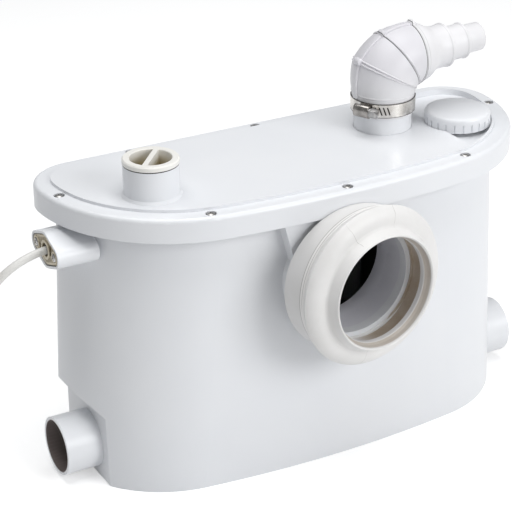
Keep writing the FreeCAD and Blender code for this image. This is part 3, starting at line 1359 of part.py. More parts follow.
def make_motor():
    """Motor on three pillars: base with seal and bearing, can, stator, rotor, shaft and cap."""
    base_top = motor_low + motor_base_thick
    stand = pump_top + basket_floor
    arms = []
    pillars = []
    for number, angle in enumerate(thirds()):
        turn = Rotation(Vector(0, 0, 1), math.degrees(angle))
        arms.append(box("motor_arm_%d" % number, pillar_circle - 26.0 + 3.0, 10.0, 4.0,
                        26.0 * math.cos(angle) + 5.0 * math.sin(angle),
                        pump_y + 26.0 * math.sin(angle) - 5.0 * math.cos(angle), motor_low, turn))
        x, y = pillar_circle * math.cos(angle), pump_y + pillar_circle * math.sin(angle)
        arms.append(cylinder("motor_eye_%d" % number, pillar_radius + 1.0, 4.0, x, y, motor_low))
        pillars.append(cylinder("pillar_%d" % number, pillar_radius, motor_low - stand, x, y, stand))
    disc = cylinder("motor_disc", motor_radius, motor_base_thick, 0, pump_y, motor_low)
    seal_pocket = cylinder("motor_seal_pocket", seal_radius + close_gap, seal_width + close_gap + 1.0, 0, pump_y,
                           motor_low - 1.0)
    eye = cylinder("motor_eye", shaft_radius + 0.8, 40.0, 0, pump_y, motor_low - 10.0)
    bearing_pocket = cylinder("motor_bearing_pocket", bearing_radius + close_gap, bearing_width + 1.0, 0, pump_y,
                              base_top - bearing_width)
    finish("motor_base", cut("motor_base", fuse("motor_base_whole", disc, *arms), seal_pocket, eye, bearing_pocket))
    finish("motor_pillars", fuse("motor_pillars", *pillars))
    finish("shaft_seal", tube("seal_ring", seal_radius, shaft_radius + run_gap, seal_width, 0, pump_y, motor_low))
    finish("lower_bearing", tube("bearing_low", bearing_radius, shaft_radius + run_gap, bearing_width, 0, pump_y,
                                 base_top - bearing_width))
    finish("motor_can", tube("motor_can", motor_radius, motor_radius - motor_wall, motor_top - base_top, 0, pump_y, base_top))
    cap = turned("cap_turned", [(0, motor_top), (motor_radius, motor_top), (motor_radius, motor_top + motor_cap_thick - 2.0),
                                (motor_radius - 2.0, motor_top + motor_cap_thick), (0, motor_top + motor_cap_thick)],
                 0, pump_y, 0)
    cap_pocket = cylinder("cap_pocket", bearing_radius + close_gap, bearing_width + 1.0, 0, pump_y, motor_top - 1.0)
    finish("motor_cap", cut("motor_cap", cap, cap_pocket))
    finish("upper_bearing", tube("bearing_high", bearing_radius, shaft_radius + run_gap, bearing_width, 0, pump_y, motor_top))
    finish("stator", tube("stator", motor_radius - motor_wall - close_gap, stator_bore, stator_height, 0, pump_y, stator_low))
    finish("rotor", tube("rotor", stator_bore - 0.5, shaft_radius + run_gap, stator_height, 0, pump_y, stator_low))
    shaft_low = pump_low + pump_floor + 1.2
    finish("motor_shaft", cylinder("motor_shaft", shaft_radius, motor_top + bearing_width - 0.5 - shaft_low, 0, pump_y,
                                   shaft_low))


def make_controls():
    """Control box with cover, capacitor, terminal block, air bell and pressure switch."""
    back = box_front + box_depth
    outer = box("box_outer", box_length, box_depth, box_height, box_left, box_front, box_low)
    inner = box("box_inner", box_length - 2 * box_wall, box_depth - 2 * box_wall, box_height,
                box_left + box_wall, box_front + box_wall, box_low + box_wall)
    bell_hole = cylinder("box_bell_hole", bell_radius + close_gap, 10.0, bell_x, bell_y, box_low - 4.0)
    wire_hole = cylinder("box_wire_hole", cord_radius + 1.5, 20.0, box_left - 5.0, gland_y, gland_z, ALONG_X)
    finish("control_box", cut("control_box", outer, inner, bell_hole, wire_hole))
    finish("box_cover", box("box_cover", box_length, box_depth, box_wall, box_left, box_front, box_low + box_height))
    floor = box_low + box_wall
    lie = document.addObject("Part::Cylinder", "capacitor")
    bind(lie, "Radius", capacitor_radius)
    bind(lie, "Height", capacitor_length)
    finish("capacitor", place(lie, box_left + box_wall + 6.0, back - box_wall - capacitor_radius - 1.0,
                              floor + capacitor_radius + close_gap, ALONG_X))
    base = box("block_base", block_length, 9.0, 14.0, box_left + box_wall + 36.0, box_front + box_wall + 0.2, floor)
    ways = [cylinder("block_way_%d" % number, 2.2, 8.0, box_left + box_wall + 42.0 + 10.0 * number,
                     box_front + box_wall + 4.7, floor + 9.0) for number in range(3)]
    finish("terminal_block", cut("terminal_block", base, *ways))
    bell = turned("bell_turned", [(bell_radius - bell_wall, bell_low), (bell_radius, bell_low), (bell_radius, floor + 3.0),
                                  (3.0, floor + 3.0), (3.0, floor + 1.0), (bell_radius - bell_wall, floor + 1.0)],
                  bell_x, bell_y, 0)
    collar = tube("bell_collar", bell_radius + 3.0, bell_radius - 0.5, 2.0, bell_x, bell_y, floor)
    finish("air_bell", fuse("air_bell", bell, collar))
    low = floor + 3.0
    top = low + switch_height
    shell = turned("switch_turned", [(4.0, low), (switch_radius, low), (switch_radius, top),
                                     (plunger_radius + run_gap, top), (plunger_radius + run_gap, top - 2.0),
                                     (switch_radius - 2.0, top - 2.0), (switch_radius - 2.0, low + 2.0), (4.0, low + 2.0)],
                   bell_x, bell_y, 0)
    finish("switch_housing", shell)
    skin = low + 5.0
    finish("switch_diaphragm", cylinder("diaphragm", switch_radius - 2.0 - close_gap, 1.0, bell_x, bell_y, skin))
    disc = cylinder("plunger_disc", 7.0, 1.2, bell_x, bell_y, skin + 1.0 + close_gap)
    stem = cylinder("plunger_stem", plunger_radius, top + 2.5 - skin - 1.2, bell_x, bell_y, skin + 1.2)
    finish("switch_plunger", fuse("switch_plunger", disc, stem))
    lift = top + 2.5 + plunger_travel + fit_gap
    body = box("micro_body", 20.0, 7.0, 10.0, bell_x - 10.0, bell_y - 3.5, lift)
    feet = [box("micro_foot_%d" % number, 3.0, 7.0, lift - top, x, bell_y - 3.5, top)
            for number, x in enumerate((bell_x - 10.0, bell_x + 7.0))]
    finish("micro_switch", fuse("micro_switch", body, *feet))


def cord_route(points):
    """Straight runs joined by tangent arcs, each as wide as its shorter run allows."""
    edges, here = [], points[0]
    for before, corner, after in zip(points, points[1:], points[2:]):
        arrive, leave = (corner - before), (after - corner)
        reach = 0.45 * min(arrive.Length, leave.Length)
        half = arrive.getAngle(leave) / 2
        radius = reach / math.tan(half)
        arrive.normalize()
        leave.normalize()
        start, stop = corner - arrive * reach, corner + leave * reach
        inward = (leave - arrive).normalize()
        middle = corner + inward * (radius / math.cos(half) - radius)
        edges.append(Part.makeLine(here, start))
        edges.append(Part.Arc(start, middle, stop).toShape())
        here = stop
        print("cord arc radius %.1f, turn %.0f degrees" % (radius, math.degrees(2 * half)))
    edges.append(Part.makeLine(here, points[-1]))
    return Part.Wire(edges)


def coil_route(start):
    """A coil wound in, up and out again in half turns, with a short straight at each end."""
    step = (2 * cord_radius + coil_gap).value
    widest, turns = coil_radius.value, int(coil_turns.value)
    tail = Vector(-2 * cord_radius.value, 0, 0)
    here, heading, side = start + tail, -1, 1
    edges = [Part.makeLine(start, here)]
    climb = 2 * turns
    for number in range(2 * climb + 1):
        radius = widest - step / 2 * min(number, 2 * climb - number)
        rise = math.asin(step / (2 * radius)) if number == climb else 0.0
        across = Vector(0, side * math.cos(rise), math.sin(rise))
        stop = here + across * (2 * radius)
        middle = here + across * radius + Vector(heading * radius, 0, 0)
        edges.append(Part.Arc(here, middle, stop).toShape())
        here, heading, side = stop, -heading, -side
    edges.append(Part.makeLine(here, here - tail))
    return Part.Wire(edges), here - tail


def self_gap(wire, width):
    """Least gap of a tube to its own other turns, measured on points along its route."""
    count = int(wire.Length / 3.0)
    points = wire.discretize(Number=count)
    near = int(6 * width / 3.0)
    return min((one - other).Length for index, one in enumerate(points) for other in points[index + near:]) - width


def swept(name, wire, along):
    """A tube of the cord's radius along a route."""
    route = document.addObject("Part::Feature", name + "_route")
    route.Shape = wire
    ring = document.addObject("Part::Circle", name + "_section")
    bind(ring, "Radius", cord_radius)
    begin = wire.OrderedVertexes[0].Point
    ring.Placement = FreeCAD.Placement(begin, Rotation(Vector(0, 0, 1), along))
    made = document.addObject("Part::Sweep", name)
    made.Sections = [ring]
    made.Spine = (route, ["Edge%d" % (number + 1) for number in range(len(wire.Edges))])
    made.Solid = True
    made.Frenet = False
    document.recompute()
    expected = math.pi * cord_radius.value ** 2 * wire.Length
    print("%s length %.0f, volume %.0f, section times length %.0f" % (name, wire.Length, made.Shape.Volume, expected))
    return finish(name, made)


def make_cord():
    """Mains cord: a lead inside the gland, the hanging tube, the coil on the floor and the angled plug."""
    level = cord_radius.value + 0.4
    start = gland_end - 9.5
    lead = cylinder("cord_lead", cord_radius, start - 170.0, -170.0, gland_y, gland_z, AGAINST_X)
    finish("cord_lead", lead)
    y, z = gland_y.value, gland_z.value
    points = [Vector(-start.value, y, z), Vector(-231, y, z), Vector(-263.3, 15, z - 16.9), Vector(-288, 26, 150),
              Vector(-302, 46, 92), Vector(-322, 66, level), Vector(-384, 66, level)]
    swept("mains_cord", cord_route(points), Vector(-1, 0, 0))
    wire, end = coil_route(points[-1])
    print("coil least gap to itself %.2f" % self_gap(wire, 2 * cord_radius.value))
    swept("cord_coil", wire, Vector(-1, 0, 0))
    tail = cone("plug_tail", cord_radius + 0.2, cord_radius + 3.0, plug_tail, end.x, end.y, end.z, ALONG_X)
    centre_x = end.x + plug_tail.value + plug_body.value - 2.5
    body = turned("plug_disc", [(0, 0.3), (plug_body - 1.5, 0.3), (plug_body, 1.8), (plug_body, plug_deep - 2.0),
                                (plug_body - 2.0, plug_deep), (0, plug_deep)], centre_x, end.y, 0)
    pins = [cylinder("plug_pin_%d" % number, plug_pin, plug_pin_length + 8.0, centre_x, end.y + offset, plug_deep - 9.0)
            for number, offset in enumerate((plug_pitch / -2, plug_pitch / 2))]
    sockets = [cylinder("plug_socket_%d" % number, plug_pin + close_gap, 12.0, centre_x, end.y + offset,
                        plug_deep - 9.0 - close_gap)
               for number, offset in enumerate((plug_pitch / -2, plug_pitch / 2))]
    tips = [ball("plug_tip_%d" % number, plug_pin, centre_x, end.y + offset, plug_deep + plug_pin_length - 1.0)
            for number, offset in enumerate((plug_pitch / -2, plug_pitch / 2))]
    finish("mains_plug", cut("mains_plug", fuse("mains_plug", body, tail), *sockets))
    finish("plug_pins", fuse("plug_pins", *[fuse("plug_pin_round_%d" % number, pin, tip)
                                            for number, (pin, tip) in enumerate(zip(pins, tips))]))


def export():
    """Checks every object, then writes one STEP file for each sub-part."""
    document.recompute()
    for thing in document.Objects:
        if "Invalid" in thing.State or "Error" in thing.State:
            raise RuntimeError("%s is %s" % (thing.Label, thing.State))
    for name, thing in parts.items():
        if thing.Shape.isNull() or not thing.Shape.isValid() or not thing.Shape.Solids:
            raise RuntimeError("%s has no valid solid" % name)
    os.makedirs("parts", exist_ok=True)
    for name, thing in parts.items():
        thing.Shape.exportStep("parts/%s.step" % name)
        print("%-18s solids %d volume %.0f" % (name, len(thing.Shape.Solids), thing.Shape.Volume))


make_tank()
make_lid()
make_lid_fixings()
make_collar()
make_side_flap("left", -1)
make_side_flap("right", 1)
make_plug()
make_vent()
make_discharge()
make_elbow()
make_clamp()
make_gland()
make_pump()
make_motor()
make_controls()
make_cord()
export()
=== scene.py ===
"""Looks of a floor-standing sewage lifting station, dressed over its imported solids.

The solids keep their shapes and get procedural finishes. The mains cord and the small fittings
that the solids only outline are modelled here. Sizes are in millimetres until MM turns them into
metres, and the frame is the part's own: +X towards the discharge, -Y out of the closet inlet, +Z up.
"""
from __future__ import annotations

import json
import logging
from dataclasses import dataclass, field, fields
from enum import Enum
from functools import cached_property, reduce
from math import asin, atan2, cos, hypot, pi, radians, sin
from typing import Callable, Iterable, Sequence, Union

import bmesh
import bpy
from bpy.types import Material, NodeSocket, Object
from mathutils import Matrix, Vector

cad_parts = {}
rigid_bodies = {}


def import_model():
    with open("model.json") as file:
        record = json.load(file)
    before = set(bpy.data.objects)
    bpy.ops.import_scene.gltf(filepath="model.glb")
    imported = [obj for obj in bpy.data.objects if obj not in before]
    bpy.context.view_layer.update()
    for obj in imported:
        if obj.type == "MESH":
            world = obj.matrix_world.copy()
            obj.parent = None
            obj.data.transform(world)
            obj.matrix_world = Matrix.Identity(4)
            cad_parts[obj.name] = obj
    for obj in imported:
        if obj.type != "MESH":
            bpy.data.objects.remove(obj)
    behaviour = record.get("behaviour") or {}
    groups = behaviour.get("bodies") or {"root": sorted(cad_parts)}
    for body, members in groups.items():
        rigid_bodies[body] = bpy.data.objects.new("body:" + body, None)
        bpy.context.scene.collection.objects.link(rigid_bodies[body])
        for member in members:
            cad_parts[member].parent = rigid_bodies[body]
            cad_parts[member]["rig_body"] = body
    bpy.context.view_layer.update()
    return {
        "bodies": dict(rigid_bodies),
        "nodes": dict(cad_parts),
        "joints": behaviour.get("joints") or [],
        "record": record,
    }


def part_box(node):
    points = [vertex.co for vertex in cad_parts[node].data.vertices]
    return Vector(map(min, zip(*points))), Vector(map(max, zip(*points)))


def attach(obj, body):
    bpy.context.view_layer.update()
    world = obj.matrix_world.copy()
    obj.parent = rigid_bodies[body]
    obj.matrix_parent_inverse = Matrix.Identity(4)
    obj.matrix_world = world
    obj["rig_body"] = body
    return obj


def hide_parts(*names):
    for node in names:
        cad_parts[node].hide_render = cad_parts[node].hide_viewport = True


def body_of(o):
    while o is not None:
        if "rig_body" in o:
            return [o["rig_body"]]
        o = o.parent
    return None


LOG = logging.getLogger("lifting_station")
MM = 0.001

Pair = tuple[float, float]
Triple = tuple[float, float, float]
Colour = Triple
Number = Union[float, "Socket"]


def maths(operation: str, back: bool = False) -> Callable[..., Socket]:
    """A method that adds a Math node.

    Args:
        operation: the node's operation.
        back: True if the socket is its last input.

    Returns:
        The method, which takes the other inputs and gives the node's output.
    """
    def method(socket: Socket, *others: Number) -> Socket:
        """The node's output."""
        values = (*others, socket) if back else (socket, *others)
        return socket.paint.node("ShaderNodeMath", {"operation": operation}, dict(enumerate(values)))

    return method


class Socket:
    """An output of a node, on which maths adds Math nodes."""

    __add__, __radd__ = maths("ADD"), maths("ADD", back=True)
    __sub__, __rsub__ = maths("SUBTRACT"), maths("SUBTRACT", back=True)
    __mul__, __rmul__ = maths("MULTIPLY"), maths("MULTIPLY", back=True)
    __truediv__, __pow__ = maths("DIVIDE"), maths("POWER")
    magnitude, lower, higher = maths("ABSOLUTE"), maths("MINIMUM"), maths("MAXIMUM")
    angle, sine = maths("ARCTAN2"), maths("SINE")

    def __init__(self, paint: Paint, link: NodeSocket) -> None:
        """Wraps one output socket of a paint's tree."""
        self.paint = paint
        self.link = link

    def rise(self, start: float, stop: float) -> Socket:
        """A smooth step from 0 at start to 1 at stop."""
        values = {"Value": self, "From Min": start, "From Max": stop}
        return self.paint.node("ShaderNodeMapRange", {"interpolation_type": "SMOOTHSTEP"}, values)


class Paint:
    """One procedural material under construction."""

    def __init__(self, name: str) -> None:
        """Starts an empty material with a principled surface."""
        self.material = bpy.data.materials.new(name)
        self.material.use_nodes = True
        self.tree = self.material.node_tree
        self.tree.nodes.clear()
        self.output = self.tree.nodes.new("ShaderNodeOutputMaterial")
        self.shader = self.tree.nodes.new("ShaderNodeBsdfPrincipled")
        self.tree.links.new(self.shader.outputs[0], self.output.inputs["Surface"])

    def node(self, kind: str, settings: dict, values: dict, out: Union[int, str] = 0) -> Socket:
        """Adds a node.

        Args:
            kind: the node's type.
            settings: its own properties, set first.
            values: numbers, colours or sockets for its inputs, by name or place.
            out: which output is wanted.

        Returns:
            That output.
        """
        made = self.tree.nodes.new(kind)
        for key, value in settings.items():
            setattr(made, key, value)
        for key, value in values.items():
            self.feed(made.inputs[key], value)
        return Socket(self, made.outputs[out])

    def feed(self, entry: NodeSocket, value: object) -> None:
        """Puts a number, a colour or a link into an input."""
        if isinstance(value, Socket):
            self.tree.links.new(value.link, entry)
        elif isinstance(value, tuple) and len(value) == 3 and entry.type == "RGBA":
            entry.default_value = (*value, 1.0)
        else:
            entry.default_value = value

    @cached_property
    def place(self) -> Socket:
        """Object coordinates."""
        return self.node("ShaderNodeTexCoord", {}, {}, "Object")

    def axes(self) -> tuple[Socket, ...]:
        """Object coordinates in millimetres, as three numbers."""
        parts = self.node("ShaderNodeSeparateXYZ", {}, {0: self.place}).link.node
        return tuple(Socket(self, output) / MM for output in parts.outputs)

    def noise(self, scale: float, detail: float = 2.0, rough: float = 0.5,
              stretch: Sequence[float] | None = None) -> Socket:
        """Noise from 0 to 1.

        Args:
            scale: lumps to the metre.
            detail: octaves.
            rough: strength of the finer octaves.
            stretch: scale along X, Y and Z, where it differs.

        Returns:
            The noise value.
        """
        where = self.place
        if stretch is not None:
            where = self.node("ShaderNodeMapping", {}, {"Vector": where, "Scale": tuple(stretch)})
        values = {"Vector": where, "Scale": scale, "Detail": detail, "Roughness": rough}
        return self.node("ShaderNodeTexNoise", {}, values)

    def mix(self, factor: Number, first: object, second: object) -> Socket:
        """A colour between two colours or links: the first where the factor is 0, the second where it is 1."""
        return self.node("ShaderNodeMix", {"data_type": "RGBA"}, {0: factor, 6: first, 7: second}, 2)

    def bump(self, height: Number, depth: float, strength: float = 1.0, under: Socket | None = None) -> Socket:
        """A bumped normal.

        Args:
            height: the height from 0 to 1.
            depth: how deep 1 is.
            strength: how much of it shows.
            under: another bump below this one.

        Returns:
            The normal.
        """
        values = {"Height": height, "Distance": depth, "Strength": strength}
        if under is not None:
            values["Normal"] = under
        return self.node("ShaderNodeBump", {}, values, "Normal")

    def surface(self, **values: object) -> Material:
        """Sets the principled shader's inputs.

        Args:
            values: inputs, with underscores for spaces.

        Returns:
            The finished material.
        """
        for key, value in values.items():
            self.feed(self.shader.inputs[key.replace("_", " ").title().replace("Ior", "IOR")], value)
        return self.material


def edge(value: Socket, place: float, soft: float) -> Socket:
    """A smooth step from 0 to 1 about one value, soft to each side of it."""
    return value.rise(place - soft, place + soft)


def band(value: Socket, start: float, stop: float, soft: float) -> Socket:
    """1 between two values and 0 outside, with edges soft to each side."""
    return edge(value, start, soft) * (1.0 - edge(value, stop, soft))


def apart(across: Socket, along: Socket) -> Socket:
    """The length of two offsets at right angles."""
    return (across * across + along * along) ** 0.5


def highest(masks: Iterable[Socket]) -> Socket:
    """The greatest of several masks."""
    return reduce(Socket.higher, masks)


@dataclass(frozen=True)
class Finish:
    """A material of two close tones, on which its kind adds a surface and marks by place."""

    name: str
    colour: Colour
    shade: Colour

    def tint(self, paint: Paint, base: Socket) -> Socket:
        """The base colour with what is marked on it by place; plain here."""
        return base

    def tones(self, paint: Paint, mask: Socket) -> Socket:
        """The shade and the colour, mixed by a mask and then marked."""
        return self.tint(paint, paint.mix(mask, self.shade, self.colour))


@dataclass(frozen=True)
class GlossPlastic(Finish):
    """Moulded gloss plastic: faint waves of the wall, a fine skin and handling marks."""

    roughness: float = 0.2
    wave: float = 0.00025
    skin: float = 0.00001

    def dress(self) -> Material:
        """Returns the material."""
        paint = Paint(self.name)
        cloud = paint.noise(9.0, 3.0, 0.55)
        scuff = paint.noise(48.0, 3.0, 0.55).rise(0.58, 0.8)
        fine = paint.noise(1400.0, 1.0)
        flow = paint.noise(7.0, 1.0, 0.4, (1.0, 1.0, 0.6))
        rough = self.roughness + cloud * 0.05 + scuff * 0.04
        under = paint.bump(flow, self.wave)
        return paint.surface(base_color=self.tones(paint, cloud.rise(0.3, 0.72)), roughness=rough,
                             specular_ior_level=0.5, ior=1.49, normal=paint.bump(fine, self.skin, 0.6, under))


@dataclass(frozen=True)
class SoftRubber(Finish):
    """Satin moulded rubber with mottling, bloom and a grainy skin."""

    roughness: float = 0.42
    grain: float = 0.00004
    lumps: float = 0.00012

    def dress(self) -> Material:
        """Returns the material."""
        paint = Paint(self.name)
        cloud = paint.noise(26.0, 4.0, 0.6)
        bloom = paint.noise(210.0, 4.0, 0.65)
        grain = paint.noise(1500.0, 2.0, 0.6)
        rough = self.roughness + bloom * 0.12 - cloud * 0.05
        under = paint.bump(paint.noise(60.0, 2.0, 0.5), self.lumps)
        return paint.surface(base_color=self.tones(paint, cloud.rise(0.3, 0.7)), roughness=rough,
                             normal=paint.bump(grain, self.grain, 0.7, under))


@dataclass(frozen=True)
class Steel(Finish):
    """Bright or brushed metal with streaks, smears and small scratches."""

    roughness: float = 0.22
    streak: Sequence[float] = (1.0, 1.0, 9.0)
    scale: float = 420.0
    scratch: float = 0.00002

    def dress(self) -> Material:
        """Returns the material."""
        paint = Paint(self.name)
        brushed = paint.noise(self.scale, 5.0, 0.65, self.streak)
        smear = paint.noise(85.0, 3.0, 0.6)
        rough = self.roughness + brushed * 0.14 + smear.rise(0.5, 0.8) * 0.12
        return paint.surface(base_color=self.tones(paint, smear.rise(0.35, 0.72)), metallic=1.0, roughness=rough,
                             normal=paint.bump(brushed, self.scratch, 0.7))


@dataclass(frozen=True)
class DarkCoat(Finish):
    """Matt paint, cast plastic or foam for the inner pieces, with grain and rubbed spots."""

    roughness: float = 0.6
    grain: float = 0.00006
    metallic: float = 0.0

    def dress(self) -> Material:
        """Returns the material."""
        paint = Paint(self.name)
        cloud = paint.noise(45.0, 4.0, 0.6)
        pits = paint.noise(900.0, 3.0, 0.6)
        rough = self.roughness + cloud * 0.12 - pits * 0.05
        return paint.surface(base_color=self.tones(paint, cloud.rise(0.35, 0.7)), metallic=self.metallic,
                             roughness=rough, normal=paint.bump(pits, self.grain, 0.7))


@dataclass(frozen=True)
class TankPlastic(GlossPlastic):
    """The tank's plastic, with painted shade inside the side spigots and inside the closet tube."""

    # painted shade: dark colour inside the side spigots' bores
    mouth: Colour = (0.21, 0.175, 0.165)
    # painted shade: greyer, cooler colour inside the closet tube
    throat: Colour = (0.74, 0.74, 0.79)
    spigot: Pair = (19.4, 29.1)
    spigot_bore: float = 22.5
    spigot_start: float = 181.5
    closet: Pair = (0.0, 176.0)
    closet_bore: float = 46.5
    closet_front: float = -83.0
    closet_back: float = -27.5

    def tint(self, paint: Paint, base: Socket) -> Socket:
        """Paints shade inside the inlets: dark in the side spigots' bores, greyer in the closet tube."""
        x, y, z = paint.axes()
        away = apart(y - self.spigot[0], z - self.spigot[1])
        # painted shade mask inside the side spigots' bores
        inlet = (1.0 - edge(away, self.spigot_bore, 0.4)) * edge(x.magnitude(), self.spigot_start, 1.5)
        bore = apart(x - self.closet[0], z - self.closet[1])
        inside = edge(y, self.closet_front, 0.4) * (1.0 - edge(y, self.closet_back, 2.5))
        # painted shade mask inside the closet tube, fading out deeper in
        deep = (1.0 - edge(bore, self.closet_bore, 0.2)) * inside
        return paint.mix(inlet, paint.mix(deep, base, self.throat), self.mouth)


@dataclass(frozen=True)
class CollarRubber(SoftRubber):
    """Collar rubber with a brown band and a tan band in the throat, bands of painted sheen, moulded lines round the
    shoulder and faint seams.
    """

    # a brown band and a tan band inside the throat, the brown one stronger towards +X
    soil: Colour = (0.405, 0.315, 0.225)
    film: Colour = (0.50, 0.44, 0.375)
    line: Colour = (0.33, 0.315, 0.295)
    # painted sheen: the lighter colour of the painted highlight bands
    sheen: Colour = (0.90, 0.89, 0.875)
    wall_y: float = -67.0
    centre_z: float = 176.0
    lean: float = radians(7.0)
    throat: float = 48.25
    shoulder: float = 56.0
    soiled_span: Pair = (29.0, 44.6)
    filmed_span: Pair = (50.7, 56.2)
    lip_span: Pair = (29.1, 35.4)
    sleeve_span: Pair = (14.0, 29.0)
    ring_spans: tuple[Pair, ...] = ((28.2, 28.8), (30.9, 31.45), (33.0, 33.55), (35.6, 36.15))
    seam_turns: tuple[float, ...] = (2.05, 1.34, -1.75)

    def tint(self, paint: Paint, base: Socket) -> Socket:
        """Adds the brown and tan bands, the painted sheen bands, the lines and the seams along the collar's leaning
        axis.
        """
        x, y, z = paint.axes()
        out, up = y - self.wall_y, z - self.centre_z
        reach = x * sin(self.lean) - out * cos(self.lean)
        side = x * cos(self.lean) + out * sin(self.lean)
        radius = apart(side, up)
        inner = 1.0 - edge(radius, self.throat, 0.25)
        streak = paint.noise(70.0, 4.0, 0.65)
        # the brown band deeper in the throat, stronger towards +X; the tan band further out
        soiled = band(reach, *self.soiled_span, 1.2) * (streak * 0.5 + 0.62) * side.rise(-20.0, 8.0)
        tan_mask = band(reach, *self.filmed_span, 0.5) * (streak * 0.4 + 0.6)
        turn = up.angle(side) + paint.noise(90.0, 3.0, 0.6) * 0.06
        seams = highest(1.0 - (turn - wanted).magnitude().rise(0.002, 0.006) for wanted in self.seam_turns)
        outer = edge(radius, 50.0, 0.5) * edge(reach, 34.0, 1.0)
        rings = highest(band(reach, *span, 0.25) for span in self.ring_spans)
        marks = (seams * outer * 0.6 * streak.rise(0.35, 0.6)).higher(rings * edge(radius, self.shoulder, 1.0) * 0.75)
        # painted highlight: a lighter band round the lip's reach, then a lighter band along the sleeve
        base = paint.mix(band(reach, *self.lip_span, 0.3) * 0.6, base, self.sheen)
        sleeve = band(reach, *self.sleeve_span, 1.0) * (1.0 - edge(radius, self.shoulder - 0.5, 0.5))
        base = paint.mix(marks, paint.mix(sleeve, base, self.sheen), self.line)
        return paint.mix(tan_mask * inner, paint.mix(soiled.lower(1.0) * inner, base, self.soil), self.film)


@dataclass(frozen=True)
class ElbowRubber(SoftRubber):
    """The elbow's soft plastic, with joint lines across the bend and the nozzle, each with its strength, and painted
    shade towards the top of the bend.
    """

    line: Colour = (0.05, 0.05, 0.05)
    # painted shade: a darker, cooler colour over the upper part of the bend
    panel: Colour = (0.675, 0.665, 0.70)
    pivot: Pair = (120.5, 283.5)
    joints: tuple[Triple, ...] = (
        (58.0, -1.5, 0.85), (87.0, -1.5, 0.9), (87.0, 2.3, 0.16), (87.0, 29.2, 0.14), (87.0, 32.1, 0.22),
        (87.0, 47.4, 0.14), (87.0, 50.3, 0.22))
    width: float = 0.34
    spread: float = radians(86.0)

    def tint(self, paint: Paint, base: Socket) -> Socket:
        """Paints shade over the upper bend, darker towards its top, and draws the joint lines."""
        x, _, z = paint.axes()
        side, up = x - self.pivot[0], z - self.pivot[1]
        marks = []
        for degrees, offset, strength in self.joints:
            angle = radians(degrees)
            along = side * sin(angle) + up * cos(angle) - offset
            ahead = (up * sin(angle) - side * cos(angle)).rise(0.0, 1.0)
            marks.append((1.0 - edge(along.magnitude(), self.width, 0.4 * self.width)) * ahead * strength)
        before = 1.0 - (side * sin(self.spread) + up * cos(self.spread)).rise(-2.0, -1.0)
        # painted shade mask: stronger with height over the bend, stopping before the nozzle
        top_shade_mask = up.rise(2.0, 34.0) * before * 0.9
        return paint.mix(highest(marks), paint.mix(top_shade_mask, base, self.panel), self.line)


@dataclass(frozen=True)
class BandSteel(Steel):
    """The clamp's band: a painted dark reflection along its rolled edges and painted shade in a row of slanted
    perforations beside the housing.
    """

    # painted dark reflection along the rolled edges, painted shade in the perforations
    dark: Colour = (0.035, 0.032, 0.030)
    axis: Pair = (91.0, 17.6)
    radius: float = 27.4
    low: float = 269.0
    high: float = 281.0
    pitch: float = 3.4
    slant: float = 0.35
    row: Pair = (-2.5, -1.9)

    def tint(self, paint: Paint, base: Socket) -> Socket:
        """Paints a dark reflection along the edges and shade in the perforations."""
        x, y, z = paint.axes()
        turn = (y - self.axis[1]).angle(x - self.axis[0])
        middle = (self.low + self.high) / 2
        place = turn * self.radius + (z - middle) * self.slant
        wave = (place * (2 * pi / self.pitch)).sine()
        # painted shade in the slanted perforations
        slot_shade = wave.rise(0.25, 0.6) * band(z, middle - 3.4, middle + 3.4, 0.2) * band(turn, *self.row, 0.02)
        # painted dark reflection along the rolled edges
        edges = edge(z, self.high - 0.65, 0.25).higher(1.0 - edge(z, self.low + 0.5, 0.2))
        return paint.mix(slot_shade.higher(edges * 0.85), base, self.dark)


@dataclass(frozen=True)
class PlugPlastic(GlossPlastic):
    """The service plug's cream plastic, browned towards the floor of its cup."""

    # brown colour, stronger towards the floor of the cup
    soil: Colour = (0.42, 0.345, 0.17)
    axis: Pair = (-141.8, -16.2)
    bore: float = 16.9
    soiled: float = 269.6
    clean: float = 281.5

    def tint(self, paint: Paint, base: Socket) -> Socket:
        """Browns the inside of the cup by depth."""
        x, y, z = paint.axes()
        inside = 1.0 - edge(apart(x - self.axis[0], y - self.axis[1]), self.bore, 0.2)
        depth = 1.0 - z.rise(self.soiled, self.clean)
        return paint.mix(depth * inside * 0.95, base, self.soil)


@dataclass(frozen=True)
class GlandPlastic(DarkCoat):
    """The cable clamp's plate: cream along its outline, olive and mottled inside."""

    inside: Colour = (0.21, 0.165, 0.09)
    middle: Pair = (12.5, 211.7)
    spread: float = 17.5
    ends: float = 6.0
    round_from: float = 19.55
    border: float = 10.15

    def tint(self, paint: Paint, base: Socket) -> Socket:
        """Darkens what lies inside the plate's border."""
        _, y, z = paint.axes()
        side, up = (y - self.middle[0]).magnitude(), (z - self.middle[1]).magnitude()
        lean = asin(self.ends / self.spread)
        flank = side * sin(lean) + up * cos(lean)
        tip = apart(side - self.spread, up) + self.ends
        past = edge(side, self.round_from, 0.25)
        rim = edge(flank * (1.0 - past) + tip * past, self.border, 0.25)
        grain = paint.noise(330.0, 3.0, 0.6).rise(0.3, 0.75)
        return paint.mix((1.0 - rim) * (grain * 0.5 + 0.5), base, self.inside)


